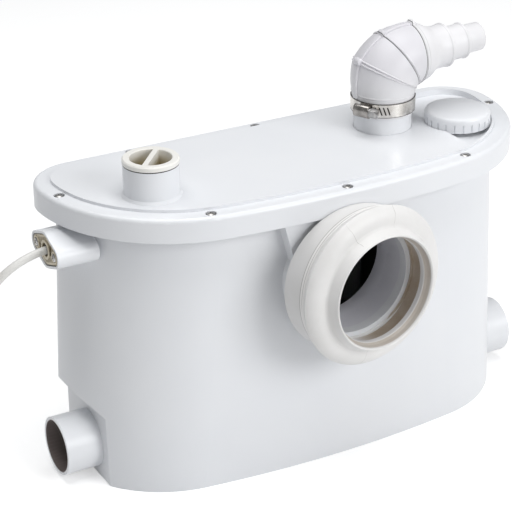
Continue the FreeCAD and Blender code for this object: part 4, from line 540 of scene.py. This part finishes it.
@dataclass(frozen=True)
class StationFinishes:
    """The finish of every slot, and below them those of single solids and pieces."""

    white_plastic: Finish = GlossPlastic("gloss_white", (0.800, 0.812, 0.835), (0.775, 0.790, 0.818), 0.27)
    soft_white: Finish = ElbowRubber("elbow_soft_white", (0.775, 0.77, 0.785), (0.74, 0.735, 0.75), 0.36)
    collar_rubber: Finish = CollarRubber("collar_rubber", (0.765, 0.757, 0.75), (0.72, 0.712, 0.70), 0.36)
    ivory_plastic: Finish = GlossPlastic("ivory_plastic", (0.80, 0.775, 0.68), (0.74, 0.70, 0.58), 0.3, 0.0001, 0.00003)
    black_rubber: Finish = DarkCoat("black_rubber", (0.022, 0.022, 0.022), (0.012, 0.012, 0.012), 0.55)
    clamp_steel: Finish = Steel("stainless_bright", (0.46, 0.435, 0.41), (0.22, 0.205, 0.19), 0.14)
    screw_steel: Finish = Steel("screw_steel", (0.62, 0.61, 0.60), (0.42, 0.41, 0.40), 0.28, (1.0, 1.0, 1.0), 700.0)
    blade_steel: Finish = Steel("blade_steel", (0.40, 0.41, 0.42), (0.27, 0.27, 0.28), 0.3)
    carbon: Finish = DarkCoat("carbon_foam", (0.02, 0.02, 0.02), (0.008, 0.008, 0.008), 0.85, 0.0004)
    # painted shade: near black, so the inside of the tank seen through the closet tube reads dark
    grey_plastic: Finish = DarkCoat("grey_plastic", (0.030, 0.031, 0.033), (0.018, 0.018, 0.020), 0.5)
    # painted shade: near black, so the inside of the tank seen through the closet tube reads dark
    motor_paint: Finish = DarkCoat("motor_paint", (0.028, 0.030, 0.034), (0.016, 0.017, 0.020), 0.45)
    laminations: Finish = DarkCoat("laminations", (0.20, 0.17, 0.14), (0.12, 0.10, 0.085), 0.5, 0.0002, 0.6)
    cord_white: Finish = SoftRubber("cord_sheath", (0.78, 0.775, 0.75), (0.70, 0.69, 0.66), 0.35, 0.00002)
    plug_body: Finish = SoftRubber("mains_plug", (0.78, 0.775, 0.76), (0.72, 0.715, 0.70), 0.38)
    black_plastic: Finish = DarkCoat("black_plastic", (0.02, 0.02, 0.022), (0.01, 0.01, 0.012), 0.45)
    tank_shell: Finish = TankPlastic("tank_gloss_white", (0.800, 0.812, 0.835), (0.775, 0.790, 0.818), 0.3)
    inlet_plug: Finish = PlugPlastic("plug_cream", (0.86, 0.85, 0.82), (0.81, 0.795, 0.75), 0.28, 0.0001, 0.00003)
    gland_plate: Finish = GlandPlastic("gland_beige", (0.72, 0.65, 0.51), (0.62, 0.54, 0.40), 0.5, 0.0001)
    clamp_band: Finish = BandSteel("stainless_band", (0.75, 0.73, 0.70), (0.52, 0.495, 0.465), 0.17)
    # painted shade: dark brown for the hole round the cable, in place of the grommet
    cord_grommet: Finish = DarkCoat("gland_pit", (0.075, 0.055, 0.03), (0.04, 0.03, 0.016), 0.6)
    gland_seat: Finish = DarkCoat("gland_seat_cream", (0.74, 0.67, 0.53), (0.62, 0.55, 0.41), 0.45, 0.0001)


def placed(name: str, data: bpy.types.ID) -> Object:
    """A new object in the scene, with its data."""
    made = bpy.data.objects.new(name, data)
    bpy.context.scene.collection.objects.link(made)
    return made


class Lay(Enum):
    """Which way a half turn of the coil bulges."""

    OUT = -1
    BACK = 1


@dataclass
class MainsCord:
    """The white cable: out of the gland, down to the floor, and away in a coil with its plug."""

    radius: float = 3.3 * MM
    level: float = 3.7 * MM
    exit: Vector = field(default_factory=lambda: Vector((-212.5, 12.5, 211.7)) * MM)
    coil_radius: float = 43.0 * MM
    coil_turns: int = 2
    coil_gap: float = 0.6 * MM
    corners: int = 6
    length: float = 1.363

    def route(self) -> list[Vector]:
        """The corners of the hanging stretch."""
        low = self.level / MM
        return [self.exit] + [Vector(point) * MM for point in (
            (-231, 12.5, 211.7), (-263.3, 15, 194.8), (-288, 26, 150), (-302, 46, 92), (-322, 66, low),
            (-384, 66, low))]

    def turns(self, start: Vector) -> list[Vector]:
        """The coil's corners, in half turns that close in, climb one layer and open again.

        Args:
            start: where the coil begins.

        Returns:
            The corners of the turns, then the straight end.
        """
        pitch = 2 * self.radius + self.coil_gap
        here = start - Vector((2 * self.radius, 0, 0))
        climb = 2 * self.coil_turns
        lay, side, points = Lay.OUT, 1, []
        for number in range(2 * climb + 1):
            radius = self.coil_radius - pitch / 2 * min(number, 2 * climb - number)
            rise = asin(pitch / (2 * radius)) if number == climb else 0.0
            across = Vector((0, side * cos(rise), sin(rise)))
            centre = here + across * radius
            reach = radius / cos(pi / self.corners / 2)
            for corner in range(self.corners):
                angle = pi * (corner + 0.5) / self.corners
                points.append(centre - across * reach * cos(angle)
                              + Vector((lay.value * reach * sin(angle), 0, 0)))
            here = here + across * 2 * radius
            lay, side = (Lay.BACK if lay is Lay.OUT else Lay.OUT), -side
        points.append(here + Vector((2 * self.radius, 0, 0)))
        return points

    def build(self, finish: Material) -> Object:
        """Args:
            finish: the sheath's material.

        Returns:
            The cable.
        """
        route = self.route()
        points = route[:-1] + self.turns(route[-1])
        data = bpy.data.curves.new("mains_cable", "CURVE")
        data.dimensions = "3D"
        spline = data.splines.new("NURBS")
        spline.points.add(len(points) - 1)
        for entry, point in zip(spline.points, points):
            entry.co = (*point, 1.0)
        spline.order_u = 3
        spline.use_endpoint_u = True
        spline.resolution_u = 8
        data.bevel_depth = self.radius
        data.bevel_resolution = 5
        data.use_fill_caps = True
        data.materials.append(finish)
        cable = placed("mains_cable", data)
        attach(cable, "tank")
        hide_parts("mains_cord", "cord_coil")
        return cable


class Shaped:
    """A solid that is shaped in edit mode with Blender's operators."""

    def __init__(self, name: str, add: Callable[..., object], **settings: object) -> None:
        """Adds a primitive and names it.

        Args:
            name: the piece's name.
            add: the operator that adds the primitive.
            settings: what it is called with.
        """
        self.leave_edit()
        bpy.ops.object.select_all(action="DESELECT")
        add(**settings)
        self.piece: Object = bpy.context.object
        self.piece.name = name
        bpy.ops.object.transform_apply(location=True, rotation=True, scale=True)

    def faces(self, test: Callable[[Vector, Vector], bool]) -> Shaped:
        """Selects the faces whose middle and normal pass a test.

        Args:
            test: takes the middle and the normal.

        Returns:
            This piece, in edit mode.
        """
        self.focus()
        bpy.ops.object.mode_set(mode="EDIT")
        bpy.ops.mesh.select_mode(type="FACE")
        bpy.ops.mesh.select_all(action="DESELECT")
        mesh = bmesh.from_edit_mesh(self.piece.data)
        for face in mesh.faces:
            face.select_set(bool(test(face.calc_center_median(), face.normal)))
        mesh.select_flush_mode()
        bmesh.update_edit_mesh(self.piece.data)
        return self

    def steps(self, *pairs: Pair) -> Shaped:
        """Insets the selected faces and lifts what is inside, once for each pair.

        Args:
            pairs: the inset and the lift, in millimetres.

        Returns:
            This piece.
        """
        for width, lift in pairs:
            bpy.ops.mesh.inset(thickness=width * MM, depth=lift * MM)
        return self

    def sweep(self, stations: Sequence[tuple[Vector, float, float]]) -> Shaped:
        """Extrudes the open outline from station to station, turned about Y and widened on the way.

        Args:
            stations: the outline's middle, its lean in radians and its width as a ratio, the first as it stands.

        Returns:
            This piece.
        """
        self.focus()
        bpy.ops.object.mode_set(mode="EDIT")
        bpy.ops.mesh.select_mode(type="EDGE")
        bpy.ops.mesh.select_all(action="SELECT")
        for (here, lean, width), (there, next_lean, next_width) in zip(stations, stations[1:]):
            bpy.ops.mesh.extrude_region_move(TRANSFORM_OT_translate={"value": there - here})
            bpy.ops.transform.rotate(value=lean - next_lean, orient_axis="Y", center_override=there)
            bpy.ops.transform.resize(value=(next_width / width,) * 3, center_override=there)
        bpy.ops.mesh.select_all(action="SELECT")
        bpy.ops.mesh.normals_make_consistent(inside=False)
        return self

    def each(self, width: float, lift: float) -> Shaped:
        """Insets each selected face by itself and lifts its inside, in millimetres."""
        bpy.ops.mesh.inset(thickness=width * MM, depth=lift * MM, use_individual=True)
        return self

    def slice(self, height: float) -> Shaped:
        """Cuts an edge ring into the whole piece at a height in millimetres."""
        self.faces(lambda middle, normal: True)
        bpy.ops.mesh.bisect(plane_co=(0, 0, height * MM), plane_no=(0, 0, 1))
        return self

    @staticmethod
    def leave_edit() -> None:
        """Goes back to object mode."""
        if bpy.context.object is not None and bpy.context.object.mode != "OBJECT":
            bpy.ops.object.mode_set(mode="OBJECT")

    def focus(self) -> None:
        """Makes this the only selected object, in object mode."""
        self.leave_edit()
        bpy.ops.object.select_all(action="DESELECT")
        bpy.context.view_layer.objects.active = self.piece
        self.piece.select_set(True)

    def wear(self, kind: str, **settings: object) -> Shaped:
        """Adds a modifier and applies it.

        Args:
            kind: the modifier's type.
            settings: its properties.

        Returns:
            This piece.
        """
        self.focus()
        modifier = self.piece.modifiers.new(kind.lower(), kind)
        for key, value in settings.items():
            setattr(modifier, key, value)
        bpy.ops.object.modifier_apply(modifier=modifier.name)
        return self

    def rounded(self, width: float, segments: int = 3, above: float = 50.0) -> Shaped:
        """Rounds the edges that are sharper than an angle in degrees, in millimetres."""
        return self.wear("BEVEL", width=width * MM, segments=segments, limit_method="ANGLE",
                         angle_limit=radians(above))

    def less(self, tool: Shaped) -> Shaped:
        """Cuts another solid away and deletes it."""
        self.wear("BOOLEAN", operation="DIFFERENCE", object=tool.piece, solver="EXACT")
        tool.focus()
        bpy.ops.object.delete()
        return self

    def turned(self, axis: Vector, place: Vector, spin: float = 0.0) -> Shaped:
        """Turns the piece's +Z to an axis and moves it to a place, in its vertices.

        Args:
            axis: where its +Z goes.
            place: where its origin goes.
            spin: a turn about its own axis first.

        Returns:
            This piece.
        """
        self.focus()
        turn = axis.to_track_quat("Z", "Y").to_matrix().to_4x4() @ Matrix.Rotation(spin, 4, "Z")
        self.piece.data.transform(Matrix.Translation(place) @ turn)
        return self

    def ready(self, finish: Material, smooth: float = 32.0) -> Object:
        """Smooths the shading, clears the slots and puts the finish on.

        Args:
            finish: the material.
            smooth: the angle in degrees up to which edges are smoothed.

        Returns:
            The object.
        """
        self.focus()
        bpy.ops.object.shade_smooth_by_angle(angle=radians(smooth))
        self.piece.data.materials.clear()
        self.piece.data.materials.append(finish)
        return self.piece


def drum(name: str, radius: float, low: float, high: float, sides: int = 64) -> Shaped:
    """A cylinder on the Z axis, in millimetres."""
    return Shaped(name, bpy.ops.mesh.primitive_cylinder_add, vertices=sides, radius=radius * MM,
                  depth=(high - low) * MM, location=(0, 0, (low + high) / 2 * MM))


def block(name: str, size: Sequence[float], middle: Sequence[float]) -> Shaped:
    """A box round a middle, in millimetres."""
    return Shaped(name, bpy.ops.mesh.primitive_cube_add, size=1.0, location=Vector(middle) * MM,
                  scale=Vector(size) * MM)


def hoop(name: str, outer: float, inner: float, low: float, high: float, soft: float = 0.3) -> Shaped:
    """A ring with rounded edges on the Z axis, in millimetres."""
    made = Shaped(name, bpy.ops.mesh.primitive_cylinder_add, vertices=64, radius=outer * MM, depth=(high - low) * MM,
                  location=(0, 0, (low + high) / 2 * MM), end_fill_type="NOTHING")
    made.wear("SOLIDIFY", thickness=(outer - inner) * MM, offset=-1.0)
    return made.rounded(soft)


def cross_head(name: str, radius: float, rim: float, dome: float, arm: float, width: float) -> Shaped:
    """A domed screw head with a crossed recess, standing on its origin.

    Args:
        name: its name.
        radius: of the head, in millimetres, as all sizes here.
        rim: height of its edge.
        dome: how far the middle stands above the rim.
        arm: length of the recess across the head.
        width: of each arm.

    Returns:
        The head.
    """
    head = drum(name, radius, 0, rim, 48)
    head.faces(lambda middle, normal: normal.z > 0.9)
    crown = ((0.08, 0.35), (0.16, 0.33), (0.24, 0.22), (0.24, 0.1))
    head.steps(*((radius * inset, dome * lift) for inset, lift in crown))
    top = rim + dome
    for size in ((arm, width, 1.6), (width, arm, 1.6)):
        head.less(block("recess", size, (0, 0, top)))
    return head


@dataclass
class Fitting:
    """A small piece or set that the solids only outline."""

    station: Station
    finishes: dict[str, Material]

    def stand_in(self, piece: Object, slot: str, *nodes: str) -> None:
        """Attaches a piece that takes the place of solids to the body of the first of them, and hides the solids."""
        self.with_body(piece, slot, nodes[0])
        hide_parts(*nodes)

    def with_body(self, piece: Object, slot: str, node: str) -> None:
        """Attaches an added piece to the body of a solid, and logs it."""
        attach(piece, self.station.body_of(node))
        LOG.info("%s moves with %s", piece.name, node)


@dataclass
class Elbow(Fitting):
    """The soft elbow over the discharge: cuff, gusseted bend, knobbed spine and stepped nozzle."""

    axis: Pair = (91.0, 17.6)
    cuff: float = 26.5
    low: float = 267.0
    pivot_z: float = 283.5
    gap: float = 3.0
    bend: float = 87.0
    radii: tuple[float, ...] = (26.5, 29.3, 28.0, 25.5)
    wall: float = 1.88
    bead: float = 0.8
    strip: Pair = (2.6, 6.3)
    strip_rise: float = 0.3
    strip_start: float = 1.8
    strip_steps: int = 26
    knob_radius: float = 3.1
    knob_reach: float = 3.9
    knob_rise: float = 0.5
    nozzle: tuple[Pair, ...] = (
        (25.6, 1.1), (25.2, 2.4), (24.8, 5.0), (23.6, 8.5), (21.2, 12.5), (19.2, 16.0), (18.4, 19.5), (18.2, 24.0),
        (18.25, 28.6), (18.7, 29.6), (18.95, 30.6), (18.85, 31.6), (18.0, 32.3), (16.2, 32.9), (15.1, 33.6),
        (14.8, 35.5), (14.8, 46.3), (15.1, 47.5), (15.5, 48.3), (15.6, 49.2), (15.1, 50.0), (13.5, 50.6),
        (12.5, 51.3), (12.3, 53.5), (12.25, 66.2), (12.0, 67.1), (11.5, 67.5))

    def radius_at(self, degrees: float) -> float:
        """The section's radius at a place of the bend."""
        step = self.bend / 3
        number = min(int(degrees / step), 2)
        share = degrees / step - number
        return self.radii[number] * (1 - share) + self.radii[number + 1] * share

    def spot(self, degrees: float, reach: float) -> Vector:
        """A place of the bend by its angle and its distance from the pivot, beyond the cuff's inner side."""
        angle, pivot_x = radians(degrees), self.axis[0] + self.cuff + self.gap
        return Vector((pivot_x - reach * cos(angle), self.axis[1], self.pivot_z + reach * sin(angle))) * MM

    def middle(self, degrees: float) -> Vector:
        """The section's middle at a place of the bend."""
        return self.spot(degrees, self.radius_at(degrees) + self.gap)

    def back(self, degrees: float, rise: float) -> Vector:
        """A place over the bend's back."""
        return self.spot(degrees, 2 * self.radius_at(degrees) + self.gap + rise)

    def beads(self) -> dict[float, float]:
        """How far the section stands proud, by the place of the bend in degrees."""
        step = self.bend / 3
        proud = {0.9: 0.0, 1.6: 0.45, 2.4: 0.0}
        for centre, rings, width in ((step, (-1.3, 1.3), 0.8), (2 * step, (0.0,), 1.5), (3 * step, (-0.1,), 1.5)):
            for ring in rings:
                for part, height in ((-1.0, 0.0), (-0.45, self.bead), (0.45, self.bead), (1.0, 0.0)):
                    place = centre + ring + part * width
                    if place <= 3 * step:
                        proud[round(place, 3)] = height
        return proud

    def stations(self) -> list[tuple[Vector, float, float]]:
        """Middle, lean and radius of every section from the cuff's end to the nozzle's."""
        made = [(Vector((*self.axis, z)) * MM, 0.0, self.cuff * MM + grow * MM)
                for z, grow in ((self.low, -0.3), (self.low + 0.4, 0.0), (self.low + 8.0, 0.0), (self.pivot_z, 0.0))]
        proud = self.beads()
        plain = [step * self.bend / 24 for step in range(1, 24)]
        free = [place for place in plain if all(abs(place - other) > 0.9 for other in proud)]
        for place in sorted(free + list(proud)):
            radius = self.radius_at(place) + proud.get(place, 0.0)
            made.append((self.middle(place), radians(place), radius * MM))
        end, lean = self.middle(self.bend), radians(self.bend)
        ahead = Vector((sin(lean), 0, cos(lean)))
        made += [(end + ahead * reach * MM, lean, radius * MM) for radius, reach in self.nozzle]
        return made

    def shell(self) -> Shaped:
        """The hollow body."""
        stations = self.stations()
        first, _, radius = stations[0]
        body = Shaped("elbow_body", bpy.ops.mesh.primitive_circle_add, vertices=80, radius=radius, location=first,
                      fill_type="NOTHING")
        return body.sweep(stations).wear("SOLIDIFY", thickness=self.wall * MM, offset=-1.0)

    def spine(self) -> Shaped:
        """The strip along the outside of the bend."""
        start = self.back(0.0, self.strip_rise) - Vector((0, 0, self.strip_start)) * MM
        places = [step * (self.bend + 0.5) / self.strip_steps for step in range(self.strip_steps)]
        stations = [(start, 0.0, 1.0)]
        stations += [(self.back(place, self.strip_rise), radians(place), 1.0) for place in places]
        strip = Shaped("elbow_spine", bpy.ops.mesh.primitive_plane_add, size=1.0, location=start)
        size = Matrix.Diagonal((self.strip[0] * MM, self.strip[1] * MM, 1.0, 1.0))
        strip.piece.data.transform(Matrix.Translation(start) @ size @ Matrix.Translation(-start))
        return strip.sweep(stations).rounded(0.7)

    def knob(self, number: int) -> Shaped:
        """The rounded knob over one ring."""
        place = self.back(self.bend * number / 3, self.knob_rise)
        made = drum(f"elbow_knob_{number}", self.knob_radius, -self.knob_reach, self.knob_reach, 40)
        return made.rounded(1.1, 4).turned(Vector((0, 1, 0)), place)

    def build(self) -> None:
        """Makes the body, the spine and the knobs."""
        finish = self.finishes["soft_white"]
        self.stand_in(self.shell().ready(finish, 40.0), "soft_white", "discharge_elbow")
        for piece in (self.spine(), self.knob(1), self.knob(2), self.knob(3)):
            self.with_body(piece.ready(finish), "soft_white", "discharge_elbow")


@dataclass
class VentCap(Fitting):
    """The vent's cap: a soft shoulder, a shallow crown and pockets round the skirt."""

    base: Triple = (152.0, -5.0, 251.2)
    radius: float = 28.0
    skirt: float = 9.4
    crown: tuple[Pair, ...] = ((0.3, 1.25), (0.6, 0.8), (1.0, 0.5), (1.6, 0.3), (2.6, 0.18), (9.0, 0.3))
    hollow: tuple[Pair, ...] = ((2.0, 0.0), (0.01, -7.6))
    pocket_top: float = 7.0
    pockets: int = 24

    def pocket(self, middle: Vector, normal: Vector) -> bool:
        """True for every fourth facet of the skirt's lower part."""
        gap = 2 * pi / self.pockets
        turn = (atan2(middle.y, middle.x) % gap) / gap
        outside = hypot(middle.x, middle.y) > (self.radius - 1.0) * MM and abs(normal.z) < 0.1
        return outside and middle.z < self.pocket_top * MM and 0.25 < turn < 0.5

    def build(self) -> None:
        """Makes the cap."""
        cap = drum("vent_cap_domed", self.radius, 0, self.skirt, 4 * self.pockets)
        cap.faces(lambda middle, normal: normal.z > 0.9).steps(*self.crown)
        cap.faces(lambda middle, normal: normal.z < -0.9).steps(*self.hollow)
        cap.slice(self.pocket_top).faces(self.pocket).each(0.3, -0.9)
        cap.turned(Vector((0, 0, 1)), Vector(self.base) * MM)
        self.stand_in(cap.ready(self.finishes["white_plastic"], 24.0), "white_plastic", "vent_cap")


@dataclass
class RimScrews(Fitting):
    """Eight cross-recessed screws in the lid's seats, each on a black ring of painted shade for the gap round its head.
    """

    sunk: float = 2.0
    head: float = 3.35
    # painted shade: a black ring under each head for the shaded gap in its seat
    washer: Pair = (4.15, 3.2)
    washer_thick: float = 0.45
    shank: float = 1.85
    shank_length: float = 12.0

    def build(self) -> None:
        """Makes one of each and copies them to every seat."""
        _, (_, _, top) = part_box("lid_screws")
        level = top / MM - self.sunk
        head = cross_head("rim_screw_1", self.head, 0.8, 1.1, 3.9, 1.15)
        head.turned(Vector((0, 0, 1)), Vector((0, 0, level * MM)))
        # painted shade: the black ring for the gap round the head
        washer = hoop("rim_washer_1", *self.washer, level, level + self.washer_thick, 0.1)
        shank = drum("rim_shank_1", self.shank, level - self.shank_length, level + 0.05, 24)
        kinds = [("screw", head, "screw_steel", self.stand_in), ("washer", washer, "black_rubber", self.with_body),
                 ("shank", shank, "screw_steel", self.with_body)]
        originals = [(kind, shaped.ready(self.finishes[slot]), slot, declare) for kind, shaped, slot, declare in kinds]
        for number, place in enumerate(self.station.screw_places(), 1):
            shift = Vector((place.x, place.y, 0))
            for kind, original, slot, declare in originals:
                declare(self.copied(original, f"rim_{kind}_{number}_set", shift), slot, "lid_screws")
        for _, original, _, _ in originals:
            bpy.data.objects.remove(original)

    @staticmethod
    def copied(original: Object, name: str, shift: Vector) -> Object:
        """Copies a finished piece, with a mesh of its own, to another place."""
        twin = original.copy()
        twin.data = original.data.copy()
        twin.name = name
        twin.data.transform(Matrix.Translation(shift))
        bpy.context.scene.collection.objects.link(twin)
        return twin


@dataclass
class CableClamp(Fitting):
    """The cable clamp's two screws in ringed seats, the ring round the cable, and a dark sleeve of painted shade in the
    hole round the cable.
    """

    face: Triple = (-221.15, 12.5, 211.7)
    spread: float = 17.5
    seat: tuple[float, ...] = (5.2, 3.75, -0.1, 0.75, 0.25)
    ring: tuple[float, ...] = (8.0, 5.65, -0.1, 0.8, 0.4)
    sleeve: tuple[float, ...] = (5.45, 3.38, -4.0, -0.6, 0.2)

    def build(self) -> None:
        """Makes the screws with their seats, then the ring and the dark sleeve of painted shade."""
        outwards, centre = Vector((-1, 0, 0)), Vector(self.face) * MM
        steel, cream = self.finishes["screw_steel"], self.finishes["gland_seat"]
        for number, side in enumerate((-1, 1), 1):
            place = centre + Vector((0, side * self.spread, 0)) * MM
            head = cross_head(f"gland_screw_{number}", 3.3, 0.7, 0.95, 4.0, 1.2).turned(outwards, place, 0.5 * number)
            self.stand_in(head.ready(steel), "screw_steel", "gland_screws")
            seat = hoop(f"gland_seat_{number}", *self.seat).turned(outwards, place)
            self.with_body(seat.ready(cream), "ivory_plastic", "gland_plate")
        ring = hoop("gland_ring", *self.ring).turned(outwards, centre)
        self.with_body(ring.ready(cream), "ivory_plastic", "gland_plate")
        # painted shade: a dark sleeve in place of the grommet stands in for the shaded hole round the cable
        sleeve = hoop("gland_sleeve", *self.sleeve).turned(outwards, centre)
        self.stand_in(sleeve.ready(self.finishes["cord_grommet"]), "cord_white", "cord_grommet")


@dataclass
class HoseClamp(Fitting):
    """The hose clamp's rolled barrel and its slotted hexagon screw."""

    turn: float = radians(206.0)
    band_middle: Triple = (91.0, 17.6, 275.0)
    reach: float = 31.25
    barrel: Pair = (3.72, 5.45)
    barrel_ends: Pair = (-8.0, 6.4)
    head_start: float = 6.85
    hexagon: float = 4.2
    hexagon_ends: Pair = (0.6, 6.6)
    slot: Triple = (1.3, 9.0, 3.0)
    flange: float = 3.9

    def build(self) -> None:
        """Makes the barrel, the screw's head and the collar under it."""
        out = Vector((cos(self.turn), sin(self.turn), 0))
        along = Vector((-sin(self.turn), cos(self.turn), 0))
        middle = Vector(self.band_middle) * MM + out * self.reach * MM
        barrel = drum("clamp_barrel", 1.0, *self.barrel_ends, 48)
        barrel.faces(lambda spot, normal: abs(normal.z) > 0.9).each(0.12, 0.0).focus()
        frame = Matrix((out, Vector((0, 0, 1)), along)).transposed().to_4x4()
        barrel.piece.data.transform(Matrix.Translation(middle) @ frame @ Matrix.Diagonal((*self.barrel, 1.0, 1.0)))
        barrel.rounded(0.5, above=60.0)
        self.stand_in(barrel.ready(self.finishes["clamp_steel"]), "clamp_steel", "clamp_housing")
        steel, start = self.finishes["screw_steel"], middle + along * self.head_start * MM
        head = drum("clamp_hexagon", self.hexagon, *self.hexagon_ends, 6).rounded(0.45, above=40.0)
        head.less(block("slot", self.slot, (0, 0, 6.8))).turned(along, start, 0.9)
        self.stand_in(head.ready(steel), "screw_steel", "clamp_screw")
        flange = drum("clamp_collar", self.flange, 0.0, 0.65, 48).turned(along, start)
        self.with_body(flange.ready(steel), "screw_steel", "clamp_screw")


@dataclass
class ClosetLiner(Fitting):
    """The closet tube's inner end, inside the tank."""

    ring: tuple[float, ...] = (48.0, 46.02, -16.0, 2.0, 0.4)
    place: Triple = (0.0, -64.0, 176.0)

    def build(self) -> None:
        """Makes the ring."""
        liner = hoop("closet_liner", *self.ring).turned(Vector((0, -1, 0)), Vector(self.place) * MM)
        self.with_body(liner.ready(self.finishes["tank_shell"]), "white_plastic", "tank_shell")


@dataclass
class Studio:
    """White cove, soft lights and the photograph's camera."""

    eye: Vector = field(default_factory=lambda: Vector((-686.5, -1180.2, 811.5)) * MM)
    yaw: float = radians(28.66)
    pitch: float = radians(25.55)
    roll: float = radians(-0.52)
    lens_pixels: float = 1802.9
    frame_pixels: float = 512.0
    sensor: float = 36.0
    ambient: float = 0.30

    def camera(self) -> None:
        """Sets the camera where the photograph was taken from."""
        ahead = Vector((sin(self.yaw) * cos(self.pitch), cos(self.yaw) * cos(self.pitch),
                        -sin(self.pitch)))
        level = Vector((cos(self.yaw), -sin(self.yaw), 0.0))
        upright = level.cross(ahead)
        right = cos(self.roll) * level + sin(self.roll) * upright
        above = -sin(self.roll) * level + cos(self.roll) * upright
        data = bpy.data.cameras.new("photo_camera")
        data.sensor_width = self.sensor
        data.lens = self.lens_pixels / self.frame_pixels * self.sensor
        data.clip_start = 0.01
        data.clip_end = 50.0
        camera = placed("photo_camera", data)
        turn = Matrix((right, above, -ahead)).transposed()
        camera.matrix_world = Matrix.Translation(self.eye) @ turn.to_4x4()
        bpy.context.scene.camera = camera

    def world(self) -> None:
        """A white surround for the eye and the gloss, and a dimmer one for the light it gives."""
        world = bpy.data.worlds.new("white_surround")
        world.use_nodes = True
        tree = world.node_tree
        tree.nodes.clear()
        out, path, seen, lit, white, blend = (tree.nodes.new(kind) for kind in (
            "ShaderNodeOutputWorld", "ShaderNodeLightPath", "ShaderNodeMath", "ShaderNodeBackground",
            "ShaderNodeBackground", "ShaderNodeMixShader"))
        seen.operation = "MAXIMUM"
        for node, colour, strength in ((lit, (0.97, 0.985, 1.0, 1.0), self.ambient),
                                       (white, (1.0, 1.0, 1.0, 1.0), 1.0)):
            node.inputs["Color"].default_value = colour
            node.inputs["Strength"].default_value = strength
        for source, entry in ((path.outputs["Is Camera Ray"], seen.inputs[0]),
                              (path.outputs["Is Transmission Ray"], seen.inputs[1]),
                              (seen.outputs[0], blend.inputs[0]), (lit.outputs[0], blend.inputs[1]),
                              (white.outputs[0], blend.inputs[2]), (blend.outputs[0], out.inputs["Surface"])):
            tree.links.new(source, entry)
        bpy.context.scene.world = world

    def lamp(self, name: str, place: Sequence[float], aim: Sequence[float], size: Sequence[float],
             power: float) -> None:
        """Adds a soft area light.

        Args:
            name: its name.
            place: where it hangs.
            aim: the point that it faces.
            size: its width and height.
            power: its power in watts.
        """
        data = bpy.data.lights.new(name, "AREA")
        data.shape = "RECTANGLE"
        data.size, data.size_y = size
        data.energy = power
        light = placed(name, data)
        light.location = place
        light.rotation_euler = (Vector(aim) - Vector(place)).to_track_quat("-Z", "Y").to_euler()

    def floor(self) -> None:
        """A pale floor that keeps the shadow and runs out into the white."""
        bpy.ops.object.select_all(action="DESELECT")
        bpy.ops.mesh.primitive_plane_add(size=12.0, location=(0, 0, 0))
        plane = bpy.context.object
        plane.name = "studio_floor"
        paint = Paint("floor_white")
        speck = paint.noise(3.0, 2.0)
        paint.surface(base_color=paint.mix(speck, (0.80, 0.80, 0.80), (0.82, 0.82, 0.82)), roughness=0.9,
                      specular_ior_level=0.1)
        path = paint.node("ShaderNodeLightPath", {}, {}, "Is Camera Ray")
        gloss = paint.node("ShaderNodeLightPath", {}, {}, "Is Glossy Ray")
        glow = paint.node("ShaderNodeEmission", {}, {"Color": (1.0, 1.0, 1.0), "Strength": path.higher(gloss) * 0.42})
        both = paint.node("ShaderNodeAddShader", {}, {0: Socket(paint, paint.shader.outputs[0]), 1: glow})
        paint.tree.links.new(both.link, paint.output.inputs["Surface"])
        plane.data.materials.append(paint.material)

    def build(self) -> None:
        """Sets the whole studio."""
        self.camera()
        self.world()
        self.floor()
        self.lamp("top_softbox", (-0.1, 0.0, 1.9), (0, 0, 0.15), (1.8, 1.4), 24.0)
        self.lamp("key_softbox", (1.0, -2.2, 1.2), (0.0, 0, 0.15), (1.5, 1.3), 34.5)


@dataclass
class Station:
    """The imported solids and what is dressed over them."""

    frame: dict
    finishes: StationFinishes = field(default_factory=StationFinishes)

    def body_of(self, node: str) -> str:
        """The body that carries a solid."""
        return body_of(self.frame["nodes"][node])[0]

    def screw_places(self, head: float = 0.3 * MM, spacing: float = 12 * MM) -> list[Vector]:
        """The middles of the separate rim screws, read from the tops of their heads in the solids."""
        mesh = self.frame["nodes"]["lid_screws"].data
        top = max(vertex.co.z for vertex in mesh.vertices)
        heads = [vertex.co.copy() for vertex in mesh.vertices if vertex.co.z > top - head]
        groups: list[list[Vector]] = []
        for spot in heads:
            for group in groups:
                if (group[0] - spot).length < spacing:
                    group.append(spot)
                    break
            else:
                groups.append([spot])
        return [Vector([(min(axis) + max(axis)) / 2 for axis in zip(*group)]) for group in groups]

    def dress(self) -> dict[str, Material]:
        """Gives every solid its own finish or that of its slot.

        Returns:
            The materials by slot or solid.
        """
        made = {use.name: getattr(self.finishes, use.name).dress() for use in fields(self.finishes)}
        slots = {entry["node"]: entry["material_slot"] for entry in self.frame["record"]["subparts"]}
        for node, piece in self.frame["nodes"].items():
            finish = made.get(node, made[slots[node]])
            if not piece.material_slots:
                piece.data.materials.append(finish)
            for entry in piece.material_slots:
                entry.link = "OBJECT"
                entry.material = finish
            LOG.info("%s wears %s", node, finish.name)
        return made


def main() -> None:
    """Builds the scene."""
    logging.basicConfig(level=logging.INFO, format="%(message)s")
    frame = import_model()
    bpy.context.scene.view_settings.view_transform = "Standard"
    Studio().build()
    station = Station(frame)
    finishes = station.dress()
    for kind in (VentCap, RimScrews, CableClamp, Elbow, HoseClamp, ClosetLiner):
        kind(station, finishes).build()
    cable = MainsCord().build(finishes["cord_white"])
    LOG.info("%s made", cable.name)


if __name__ == "__main__":
    main()
